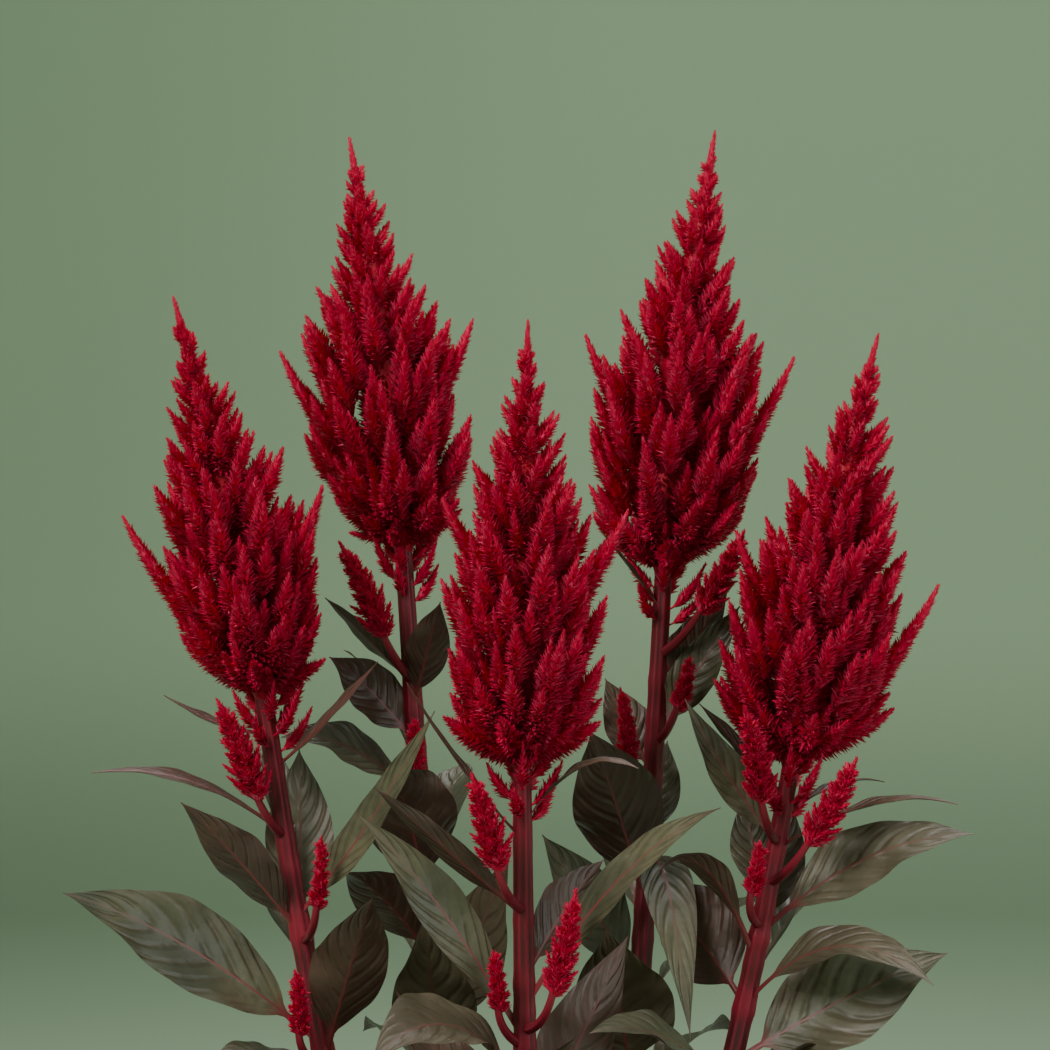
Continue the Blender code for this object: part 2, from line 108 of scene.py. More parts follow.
@dataclass(frozen=True)
class SidePlumePlan:
    """Where one small plume stands.

    Attributes:
        stem: the name of its stem.
        height: where its stalk leaves the stem.
        foot: its base.
        tip: its tip.
        width: its full width.
    """

    stem: str
    height: float
    foot: Point
    tip: Point
    width: float


@dataclass(frozen=True)
class LeafPlan:
    """Where one leaf stands and how it hangs.

    Attributes:
        stem: the name of its stem.
        height: where it leaves the stem.
        tip: its tip.
        width: its full width.
        bow: how far it arches upward.
        roll: how far its face turns to the viewer, in degrees.
    """

    stem: str
    height: float
    tip: Point
    width: float
    bow: float
    roll: float


STEMS: tuple[StemPlan, ...] = (
    StemPlan("front", (1, -28, 0), (-1, -45, 176), (1, -52, 328), 29,
             ((35, -46, 264), (-28, -50, 268), (13, -77, 224), (-27, -56, 194), (25, -50, 192))),
    StemPlan("left", (-54, -10, 0), (-91, -5, 198), (-122, -14, 338), 27,
             ((-71, 4, 273), (-140, -8, 262), (-84, -12, 286), (-96, -38, 238))),
    StemPlan("right", (54, -5, 0), (93, 0, 174), (124, 4, 326), 31,
             ((145, 2, 238), (74, 4, 257), (129, 6, 194), (108, -30, 252), (66, -6, 205))),
    StemPlan("back_left", (-24, 28, 0), (-44, 55, 249), (-64, 62, 400), 30,
             ((-89, 58, 322), (-19, 62, 334), (-48, 28, 298), (-24, 46, 268))),
    StemPlan("back_right", (34, 26, 0), (50, 50, 241), (69, 58, 402), 31,
             ((22, 54, 328), (98, 60, 320), (42, 22, 290), (84, 56, 278))),
)

SIDE_PLUMES: tuple[SidePlumePlan, ...] = tuple(SidePlumePlan(*row) for row in (
    ("left", 150, (-92, -17, 163), (-106, -26, 199), 16),
    ("left", 114, (-72, -23, 126), (-70, -29, 152), 7),
    ("left", 70, (-78, -21, 82), (-79, -28, 106), 9),
    ("back_left", 203, (-50, 33, 218), (-66, 24, 253), 15),
    ("back_left", 156, (-40, 34, 168), (-40, 29, 190), 9),
    ("front", 128, (-9, -59, 142), (-18, -67, 176), 15),
    ("front", 87, (9, -58, 100), (17, -64, 137), 13),
    ("front", 81, (-9, -46, 93), (-11, -51, 115), 8),
    ("back_right", 212, (62, 34, 227), (78, 23, 257), 14),
    ("back_right", 180, (54, 36, 192), (59, 31, 212), 8),
    ("back_right", 161, (37, 33, 173), (34, 26, 201), 9),
    ("right", 148, (82, -18, 162), (75, -34, 197), 14),
    ("right", 134, (97, -20, 148), (114, -28, 179), 15),
    ("right", 119, (78, -15, 130), (81, -21, 150), 8),
))

LEAVES: tuple[LeafPlan, ...] = tuple(LeafPlan(*row) for row in (
    ("left", 78, (-157, -38, 134), 30, 6, 55),
    ("left", 116, (-118, -30, 164), 19, 2, -55),
    ("left", 151, (-150, -15, 173), 8, 8, 20),
    ("left", 186, (-126, -2, 200), 5, -3, 20),
    ("left", 174, (-51, -22, 212), 7, -2, 30),
    ("left", 123, (-31, -50, 196), 14, -5, 50),
    ("left", 73, (-51, -62, 135), 26, 2, -60),
    ("left", 118, (-80, 18, 180), 24, 0, 60),
    ("left", 100, (-112, 46, 146), 24, 8, -20),
    ("left", 140, (-92, 34, 182), 17, 4, -30),
    ("back_left", 160, (-86, 22, 185), 19, 6, 40),
    ("back_left", 202, (-72, 46, 233), 9, 0, -30),
    ("back_left", 180, (-70, 45, 212), 21, 2, 50),
    ("back_left", 194, (-30, 20, 232), 16, 0, -60),
    ("back_left", 123, (-47, 5, 174), 34, 6, -75),
    ("back_left", 103, (-64, 10, 138), 24, 4, -60),
    ("back_left", 58, (-35, -18, 121), 30, 2, 70),
    ("back_left", 74, (-6, 2, 142), 27, 0, 60),
    ("back_left", 90, (-70, 104, 130), 27, 9, -35),
    ("back_left", 130, (-22, 98, 172), 23, 6, -35),
    ("back_left", 172, (-66, 92, 214), 16, 4, -35),
    ("front", 83, (-55, -52, 161), 18, 5, 55),
    ("front", 152, (-40, -62, 206), 6, -3, 20),
    ("front", 126, (-50, -76, 172), 11, 0, -40),
    ("front", 157, (38, -60, 177), 8, 10, 10),
    ("front", 94, (65, -80, 165), 14, 11, 50),
    ("front", 66, (-51, -88, 82), 30, 17, 35),
    ("front", 61, (17, -85, 89), 13, 3, 30),
    ("front", 104, (27, -16, 143), 18, 3, -60),
    ("front", 44, (36, -10, 116), 26, 0, -65),
    ("front", 30, (-44, -22, 98), 26, 0, -65),
    ("back_right", 123, (23, 8, 186), 32, 3, -75),
    ("back_right", 60, (28, -10, 119), 38, 0, 70),
    ("back_right", 140, (57, -26, 83), 18, 18, 50),
    ("back_right", 96, (6, 8, 150), 24, 0, 60),
    ("back_right", 204, (73, 44, 236), 16, -4, -50),
    ("back_right", 229, (27, 28, 257), 5, 0, 30),
    ("back_right", 182, (77, 40, 230), 17, 0, 50),
    ("back_right", 169, (29, 55, 203), 18, 0, 60),
    ("back_right", 143, (52, 62, 181), 16, 0, 60),
    ("back_right", 84, (92, 84, 122), 27, 9, -30),
    ("back_right", 112, (30, 100, 150), 25, 6, -35),
    ("back_right", 190, (66, 92, 226), 15, 3, -35),
    ("right", 148, (55, -22, 199), 14, -3, 60),
    ("right", 163, (61, -4, 197), 7, 0, -30),
    ("right", 107, (42, -46, 138), 12, 19, -20),
    ("right", 91, (44, 24, 130), 33, 4, -65),
    ("right", 145, (149, -25, 164), 8, 7, 15),
    ("right", 116, (155, -20, 152), 26, 9, 50),
    ("right", 91, (138, -52, 103), 21, 17, 40),
    ("right", 71, (146, -15, 111), 36, 2, 60),
    ("right", 156, (128, 24, 168), 5, 5, 10),
    ("right", 116, (95, 22, 161), 20, 0, 60),
    ("right", 126, (77, 14, 164), 17, 0, 60),
    ("right", 63, (22, -52, 88), 20, 8, 35),
    ("right", 96, (118, 52, 138), 25, 7, -25),
))

# Levels up a plume as shares of its height, each with the half-width there as a share of the widest
PLUME_OUTLINE: tuple[tuple[float, float], ...] = (
    (0.0, 0.20), (0.05, 0.58), (0.12, 0.86), (0.28, 1.0), (0.50, 0.95), (0.58, 0.80),
    (0.66, 0.62), (0.76, 0.42), (0.88, 0.19), (1.0, 0.0),
)
# Levels up a plume, each with the angle in degrees between a side spike and the plume's axis
SPIKE_ANGLE: tuple[tuple[float, float], ...] = (
    (0.0, 80.0), (0.10, 56.0), (0.28, 33.0), (0.50, 34.0), (0.75, 42.0), (1.0, 40.0),
)


def share(start: Any, end: Any, t: Any) -> Any:
    """The value a share t of the way from start to end."""
    return start + (end - start) * t


def point(values: Sequence[float]) -> np.ndarray:
    """A table's point, above the soil and in millimetres, as metres in the row frame."""
    x, y, z = values
    return np.array((x, y, z + SOIL_LEVEL)) * MM


def unit(vectors: np.ndarray) -> np.ndarray:
    """The same vectors at length one."""
    return vectors / np.maximum(np.linalg.norm(vectors, axis=-1, keepdims=True), 1e-12)


def bezier(curve: Curve, t: Any) -> np.ndarray:
    """Points on a quadratic curve.

    Args:
        curve: the three points that control it.
        t: shares along it.

    Returns:
        One row for each share.
    """
    t = np.asarray(t, float)[..., None]
    return curve[0] * (1 - t) ** 2 + curve[1] * 2 * t * (1 - t) + curve[2] * t * t


def heading(curve: Curve, t: Any) -> np.ndarray:
    """Unit directions along a quadratic curve at shares t."""
    t = np.asarray(t, float)[..., None]
    return unit(share(curve[1] - curve[0], curve[2] - curve[1], t))


def directions_round(along: np.ndarray) -> tuple[np.ndarray, np.ndarray]:
    """Two unit directions square to a line and to each other, for laying things round it."""
    first = unit(np.cross(along, ODD_WAY))
    return first, np.cross(along, first)


def outline(level: float) -> float:
    """A plume's half-width at a share of its height, as a share of its widest."""
    levels, widths = zip(*PLUME_OUTLINE)
    return float(np.interp(level, levels, widths))


def stem_points(plan: StemPlan, heights: np.ndarray) -> np.ndarray:
    """Points on a stem's centre line. Below the soil it stands upright.

    Args:
        plan: the stem.
        heights: heights above the soil, in millimetres.

    Returns:
        One row for each height, in metres.
    """
    heights = np.asarray(heights, float)
    foot, top = np.array(plan.foot, float), np.array(plan.top, float)
    t = np.clip(heights / top[2], 0, None)
    across = top[:2] - foot[:2]
    bend = STEM_BEND * np.linalg.norm(across) * np.sin(math.pi * np.clip(t, 0, 1))
    flat = foot[:2] + across * t[..., None] + unit(across) * bend[..., None]
    return np.concatenate([flat, (heights + SOIL_LEVEL)[..., None]], axis=-1) * MM


@dataclass
class Sheet:
    """Gathers points, triangles and per-point colours, then makes one mesh object from them.

    Attributes:
        points: blocks of points, in metres.
        faces: blocks of triangles, counted from each block's own start.
        marks: blocks of four numbers for each point, read by the finishes.
        total: how many points it holds.
    """

    points: list[np.ndarray] = field(default_factory=list)
    faces: list[np.ndarray] = field(default_factory=list)
    marks: list[np.ndarray] = field(default_factory=list)
    total: int = 0

    def add(self, points: np.ndarray, faces: np.ndarray, marks: np.ndarray) -> None:
        """Adds one block.

        Args:
            points: its points, in metres.
            faces: its triangles, counted from the block's own start.
            marks: four numbers for each point.
        """
        self.points.append(points)
        self.faces.append(faces + self.total)
        self.marks.append(marks)
        self.total += len(points)

    def to_object(self, name: str, finish: bpy.types.Material) -> bpy.types.Object:
        """Makes a smooth-shaded mesh object.

        Args:
            name: the object's name.
            finish: its material.

        Returns:
            The object, linked to the scene.
        """
        points, faces = np.concatenate(self.points), np.concatenate(self.faces)
        marks = np.concatenate(self.marks)
        mesh = bpy.data.meshes.new(name)
        mesh.vertices.add(len(points))
        mesh.vertices.foreach_set("co", points.astype(np.float32).ravel())
        mesh.loops.add(faces.size)
        mesh.loops.foreach_set("vertex_index", faces.astype(np.int32).ravel())
        mesh.polygons.add(len(faces))
        mesh.polygons.foreach_set("loop_start", np.arange(0, faces.size, 3, dtype=np.int32))
        mesh.update(calc_edges=True)
        mesh.polygons.foreach_set("use_smooth", np.ones(len(faces), bool))
        layer = mesh.color_attributes.new("marks", "FLOAT_COLOR", "POINT")
        layer.data.foreach_set("color", marks.astype(np.float32).ravel())
        mesh.materials.append(finish)
        mesh.validate()
        made = bpy.data.objects.new(name, mesh)
        bpy.context.scene.collection.objects.link(made)
        return made


def grid_faces(rows: int, columns: int, closed: bool = False) -> np.ndarray:
    """Triangles over a grid of points.

    Args:
        rows: points along it.
        columns: points across it.
        closed: whether the last column meets the first.

    Returns:
        Triangles as rows of three indices.
    """
    across = columns if closed else columns - 1
    i, j = np.meshgrid(np.arange(rows - 1), np.arange(across), indexing="ij")
    a = (i * columns + j).ravel()
    b = (i * columns + (j + 1) % columns).ravel()
    c, d = b + columns, a + columns
    return np.concatenate([np.stack([a, b, c], 1), np.stack([a, c, d], 1)])


class NodeBench:
    """A small helper that lays shader nodes and wires them."""

    def __init__(self, name: str) -> None:
        """Starts a material with its Principled shader.

        Args:
            name: the material's name.
        """
        self.material = bpy.data.materials.new(name)
        self.material.use_nodes = True
        self.tree = self.material.node_tree
        self.shader = self.tree.nodes["Principled BSDF"]

    def link(self, value: Any, socket: Any) -> None:
        """Wires a node's output to a socket, or sets the socket where the value is a plain one.

        Args:
            value: an output socket, a number or a colour with its alpha.
            socket: the input socket.
        """
        if isinstance(value, bpy.types.NodeSocket):
            self.tree.links.new(value, socket)
        else:
            socket.default_value = value

    def marks(self) -> tuple[Any, Any, Any, Any]:
        """Reads the marks.

        Returns:
            The four numbers that each point carries.
        """
        read = self.tree.nodes.new("ShaderNodeAttribute")
        read.attribute_name = "marks"
        split = self.tree.nodes.new("ShaderNodeSeparateColor")
        self.tree.links.new(read.outputs["Color"], split.inputs[0])
        return split.outputs[0], split.outputs[1], split.outputs[2], read.outputs["Alpha"]

    def place(self) -> Any:
        """The point's place in the object, in metres."""
        return self.tree.nodes.new("ShaderNodeTexCoord").outputs["Object"]

    def math(self, what: str, *values: Any, clamp: bool = False) -> Any:
        """Lays a Math node.

        Args:
            what: its operation.
            values: what goes into it.
            clamp: whether its result is kept from 0 to 1.

        Returns:
            The node's result.
        """
        node = self.tree.nodes.new("ShaderNodeMath")
        node.operation = what
        node.use_clamp = clamp
        for value, socket in zip(values, node.inputs):
            self.link(value, socket)
        return node.outputs[0]

    def noise(self, scale: float, detail: float = 3.0, roughness: float = 0.55,
              stretch: Point = (1, 1, 1)) -> Any:
        """Lays a noise over the object's own space.

        Args:
            scale: how fine it is.
            detail: how many finer noises are laid over it.
            roughness: how strong those are.
            stretch: how fine it is along each axis, as a share of the scale.

        Returns:
            The noise, from 0 to 1.
        """
        mapping = self.tree.nodes.new("ShaderNodeMapping")
        mapping.inputs["Scale"].default_value = stretch
        self.tree.links.new(self.place(), mapping.inputs["Vector"])
        node = self.tree.nodes.new("ShaderNodeTexNoise")
        node.inputs["Scale"].default_value = scale
        node.inputs["Detail"].default_value = detail
        node.inputs["Roughness"].default_value = roughness
        self.tree.links.new(mapping.outputs[0], node.inputs["Vector"])
        return node.outputs["Fac"]

    def ramp(self, value: Any, low: float, high: float, to_low: float = 0.0, to_high: float = 1.0) -> Any:
        """Lays a smooth step.

        Args:
            value: what is stepped.
            low: the limit where the step starts.
            high: the limit where it ends.
            to_low: the result at the first limit.
            to_high: the result at the second.

        Returns:
            The step's result.
        """
        node = self.tree.nodes.new("ShaderNodeMapRange")
        node.interpolation_type = "SMOOTHSTEP"
        self.link(value, node.inputs["Value"])
        for name, number in (("From Min", low), ("From Max", high), ("To Min", to_low), ("To Max", to_high)):
            node.inputs[name].default_value = number
        return node.outputs["Result"]

    def mix(self, factor: Any, first: Any, second: Any, blend: str = "MIX") -> Any:
        """Mixes two colours.

        Args:
            factor: the second colour's share.
            first: the first colour.
            second: the second colour.
            blend: the way in which they mix.

        Returns:
            The mixed colour.
        """
        node = self.tree.nodes.new("ShaderNodeMix")
        node.data_type = "RGBA"
        node.blend_type = blend
        self.link(factor, node.inputs[0])
        for value, socket in ((first, node.inputs[6]), (second, node.inputs[7])):
            self.link((*value, 1.0) if isinstance(value, tuple) else value, socket)
        return node.outputs[2]

    def bump(self, height: Any, distance: float, strength: float = 1.0) -> Any:
        """Lays a bump.

        Args:
            height: the relief, from 0 to 1.
            distance: how high the relief stands at 1, in metres.
            strength: how strongly it shows.

        Returns:
            The bumped normal.
        """
        node = self.tree.nodes.new("ShaderNodeBump")
        node.inputs["Strength"].default_value = strength
        node.inputs["Distance"].default_value = distance
        self.link(height, node.inputs["Height"])
        return node.outputs["Normal"]

    def finish(self, colour: Any, roughness: Any, normal: Any = None,
               specular: float = 0.5) -> bpy.types.Material:
        """Wires the shader.

        Args:
            colour: the base colour.
            roughness: the roughness.
            normal: a bumped normal, if there is one.
            specular: the level of plain reflection.

        Returns:
            The finished material.
        """
        self.link(colour, self.shader.inputs["Base Color"])
        self.link(roughness, self.shader.inputs["Roughness"])
        self.shader.inputs["Specular IOR Level"].default_value = specular
        if normal is not None:
            self.tree.links.new(normal, self.shader.inputs["Normal"])
        return self.material


@dataclass(frozen=True)
class FloretFinish:
    """Papery crimson florets, with painted shade where set in and brighter outward, painted highlights on a
    few pale edges, and dusky tips.
    """

    set_in_shade: Colour = (0.38, 0.0015, 0.022)
    body: Colour = (0.60, 0.0028, 0.044)
    bright: Colour = (0.78, 0.009, 0.095)
    pale: Colour = (0.86, 0.20, 0.34)
    dusk: Colour = (0.20, 0.003, 0.016)
    sheen: float = 0.35
    sheen_tint: Colour = (1.0, 0.10, 0.26)

    def make(self) -> bpy.types.Material:
        """Builds the material.

        The marks are: along the tepal, its own tint, how far out of the plume it is, which sets its painted
        shade, and how near its edge.

        Returns:
            The material.
        """
        bench = NodeBench("crimson_florets")
        along, tint, outward, edge = bench.marks()
        drift = bench.noise(60.0, 2.0)
        # painted shade: tepals set into the plume, and its heart, take a darker crimson that lightens outward
        colour = bench.mix(bench.ramp(outward, 0.12, 0.60), self.set_in_shade, self.body)
        lift = bench.math("MULTIPLY", bench.ramp(along, 0.1, 0.8), bench.ramp(tint, 0.20, 0.9))
        lift = bench.math("MULTIPLY", lift, bench.ramp(drift, 0.3, 0.7, 0.55, 1.0))
        colour = bench.mix(lift, colour, self.bright)
        # painted highlight: pale pink on the edges of a few tepals
        edge_highlight = bench.math("MULTIPLY", bench.ramp(tint, 0.88, 0.96), bench.ramp(edge, 0.35, 0.95))
        colour = bench.mix(bench.math("MULTIPLY", edge_highlight, 0.7), colour, self.pale)
        dusky = bench.math("MULTIPLY", bench.ramp(along, 0.70, 1.0), bench.ramp(tint, 0.50, 0.10))
        colour = bench.mix(bench.math("MULTIPLY", dusky, 0.75), colour, self.dusk)
        bench.shader.inputs["Sheen Weight"].default_value = self.sheen
        bench.shader.inputs["Sheen Roughness"].default_value = 0.5
        bench.shader.inputs["Sheen Tint"].default_value = (*self.sheen_tint, 1.0)
        return bench.finish(colour, bench.ramp(drift, 0.2, 0.8, 0.42, 0.56), specular=0.28)


@dataclass(frozen=True)
class LeafFinish:
    """Bronze-green blade, maroon underneath, with sunken side veins, painted shade in the furrows between
    them, and a midrib redder toward the stem.
    """

    upper: Colour = (0.118, 0.108, 0.062)
    upper_dark: Colour = (0.040, 0.042, 0.023)
    flush: Colour = (0.078, 0.030, 0.022)
    under: Colour = (0.085, 0.038, 0.026)
    under_dark: Colour = (0.036, 0.015, 0.011)
    vein: Colour = (0.11, 0.075, 0.048)
    rib: Colour = (0.19, 0.026, 0.032)
    relief: float = 0.0006  # metres

    def make(self) -> bpy.types.Material:
        """Builds the material.

        The marks are: along the leaf, distance from the rib, count of side veins, and tone. Tone is the
        leaf's own share of maroon, with one added on the underside.

        Returns:
            The material.
        """
        bench = NodeBench("bronze_leaf")
        along, off_rib, counted, tone = bench.marks()
        past_vein = bench.math("FRACT", bench.math("MULTIPLY", counted, VEIN_SCALE))
        between = bench.math("MULTIPLY", bench.math("ABSOLUTE", bench.math("SUBTRACT", past_vein, 0.5)), 2.0)
        on_blade = bench.math("MULTIPLY", bench.ramp(along, 0.17, 0.30), bench.ramp(off_rib, 0.02, 0.12))
        broken = bench.ramp(bench.noise(95.0, 2.0), 0.30, 0.62, 0.25, 1.0)
        on_blade = bench.math("MULTIPLY", on_blade, broken)
        vein = bench.math("MULTIPLY", bench.ramp(between, 0.84, 0.98), on_blade)
        hollow = bench.math("MULTIPLY", bench.ramp(between, 0.35, 1.0), on_blade)
        under = bench.ramp(tone, 0.95, 1.0)
        maroon = bench.math("FRACT", tone)
        cloud = bench.noise(24.0, 3.0)
        grain = bench.noise(900.0, 2.0)
        top = bench.mix(bench.ramp(cloud, 0.30, 0.66), self.upper_dark, self.upper)
        patches = bench.ramp(cloud, 0.40, 0.75, 0.0, 0.6)
        edge_red = bench.math("MULTIPLY", bench.ramp(off_rib, 0.45, 1.0), patches)
        top = bench.mix(bench.math("MAXIMUM", edge_red, bench.ramp(maroon, 0.2, 0.9)), top, self.flush)
        low = bench.mix(bench.ramp(cloud, 0.3, 0.7), self.under_dark, self.under)
        blade = bench.mix(under, top, low)
        # painted shade: the furrows between the side veins are darkened
        blade = bench.mix(bench.math("MULTIPLY", hollow, 0.22), blade, self.under_dark)
        blade = bench.mix(bench.math("MULTIPLY", vein, 0.32), blade, self.vein)
        mottle = bench.ramp(bench.noise(330.0, 3.0), 0.40, 0.70, 0.0, 0.30)
        blade = bench.mix(mottle, blade, self.upper_dark)
        redder = bench.ramp(along, 0.90, 0.25, 0.15, 0.9)
        midrib = bench.math("MULTIPLY", bench.ramp(off_rib, 0.060, 0.022), redder)
        petiole = bench.ramp(along, 0.22, 0.13)
        colour = bench.mix(bench.math("MAXIMUM", midrib, petiole), blade, self.rib)
        height = bench.math("ADD", bench.math("MULTIPLY", grain, 0.15), bench.math("MULTIPLY", hollow, -1.0))
        normal = bench.bump(height, self.relief, 0.7)
        return bench.finish(colour, bench.ramp(cloud, 0.2, 0.8, 0.38, 0.50), normal, 0.5)


@dataclass(frozen=True)
class StemFinish:
    """Ribbed burgundy stem with redder ribs, darker furrows and a satin skin."""

    furrow: Colour = (0.034, 0.009, 0.009)
    rib: Colour = (0.135, 0.008, 0.018)
    fresh: Colour = (0.26, 0.007, 0.028)
    relief: float = 0.0004  # metres

    def make(self) -> bpy.types.Material:
        """Builds the material. The marks are: height, rib, and freshness.

        Returns:
            The material.
        """
        bench = NodeBench("burgundy_stem")
        _, rib, fresh, _ = bench.marks()
        streak = bench.noise(420.0, 3.0, stretch=(1, 1, 0.08))
        ridge = bench.math("MULTIPLY", bench.ramp(rib, 0.25, 0.85), bench.ramp(streak, 0.25, 0.55, 0.4, 1.0))
        colour = bench.mix(ridge, self.furrow, self.rib)
        colour = bench.mix(bench.math("MULTIPLY", fresh, 0.75, clamp=True), colour, self.fresh)
        normal = bench.bump(streak, self.relief, 0.6)
        return bench.finish(colour, bench.ramp(streak, 0.2, 0.8, 0.36, 0.52), normal, 0.35)


@dataclass(frozen=True)
class ClayFinish:
    """Dry unglazed terracotta: cloudy, speckled, with a pale bloom low down and under the rim."""

    clay: Colour = (0.46, 0.175, 0.085)
    warm: Colour = (0.34, 0.115, 0.055)
    bloom: Colour = (0.62, 0.44, 0.34)
    speck: Colour = (0.16, 0.06, 0.035)
    relief: float = 0.0006  # metres

    def make(self) -> bpy.types.Material:
        """Builds the material. The first mark is how much bloom gathers there.

        Returns:
            The material.
        """
        bench = NodeBench("terracotta")
        gather, _, _, _ = bench.marks()
        cloud = bench.noise(22.0, 5.0)
        fine = bench.noise(700.0, 4.0, 0.7)
        specks = bench.noise(330.0, 1.0)
        colour = bench.mix(bench.ramp(cloud, 0.3, 0.7), self.warm, self.clay)
        chalk = bench.math("MULTIPLY", gather, bench.ramp(cloud, 0.42, 0.7))
        colour = bench.mix(bench.math("MULTIPLY", chalk, 0.7), colour, self.bloom)
        colour = bench.mix(bench.ramp(specks, 0.66, 0.74, 0.0, 0.55), colour, self.speck)
        height = bench.math("ADD", bench.math("MULTIPLY", fine, 0.5), bench.math("MULTIPLY", cloud, 0.4))
        normal = bench.bump(height, self.relief, 0.6)
        return bench.finish(colour, bench.ramp(fine, 0.2, 0.8, 0.78, 0.94), normal, 0.25)


@dataclass(frozen=True)
class SoilFinish:
    """Dark, slightly moist potting soil."""

    dark: Colour = (0.012, 0.008, 0.006)
    light: Colour = (0.060, 0.038, 0.024)
    relief: float = 0.0015  # metres

    def make(self) -> bpy.types.Material:
        """Builds the material.

        Returns:
            The material.
        """
        bench = NodeBench("potting_soil")
        crumbs = bench.noise(520.0, 5.0, 0.65)
        patch = bench.noise(60.0, 3.0)
        dry = bench.math("MULTIPLY", bench.ramp(crumbs, 0.35, 0.7), patch)
        colour = bench.mix(dry, self.dark, self.light)
        normal = bench.bump(crumbs, self.relief, 0.9)
        return bench.finish(colour, bench.ramp(patch, 0.3, 0.7, 0.75, 0.95), normal, 0.3)


@dataclass(frozen=True)
class PlainFinish:
    """One plain matt colour with a faint unevenness, for small grains."""

    name: str
    colour: Colour
    roughness: float = 0.9

    def make(self) -> bpy.types.Material:
        """Builds the material.

        Returns:
            The material.
        """
        bench = NodeBench(self.name)
        drift = bench.noise(3.0, 2.0)
        darker = tuple(0.93 * part for part in self.colour)
        return bench.finish(bench.mix(drift, darker, self.colour), self.roughness, specular=0.15)


@dataclass(frozen=True)
class SweepFinish:
    """Matt sage backdrop with painted light: a little lighter toward the viewer's right and higher up."""

    shaded: Colour = (0.242, 0.325, 0.222)
    lit: Colour = (0.315, 0.410, 0.290)

    def make(self) -> bpy.types.Material:
        """Builds the material.

        Returns:
            The material.
        """
        bench = NodeBench("studio_sage")
        split = bench.tree.nodes.new("ShaderNodeSeparateXYZ")
        bench.tree.links.new(bench.place(), split.inputs[0])
        # painted light: shaded to lit from the viewer's left to right
        colour = bench.mix(bench.ramp(split.outputs[0], -0.72, 0.20), self.shaded, self.lit)
        # painted light: brighter up from the floor, to even out the lamps' falloff toward the wall
        low = bench.ramp(split.outputs[2], -0.02, 0.30, 0.95, 1.46)
        level = bench.math("MULTIPLY", low, bench.ramp(split.outputs[2], 0.25, 1.1, 1.0, 1.17))
        painted_light_level = bench.tree.nodes.new("ShaderNodeCombineXYZ")
        for socket in painted_light_level.inputs:
            bench.tree.links.new(level, socket)
        return bench.finish(bench.mix(1.0, colour, painted_light_level.outputs[0], "MULTIPLY"), 0.9, specular=0.1)


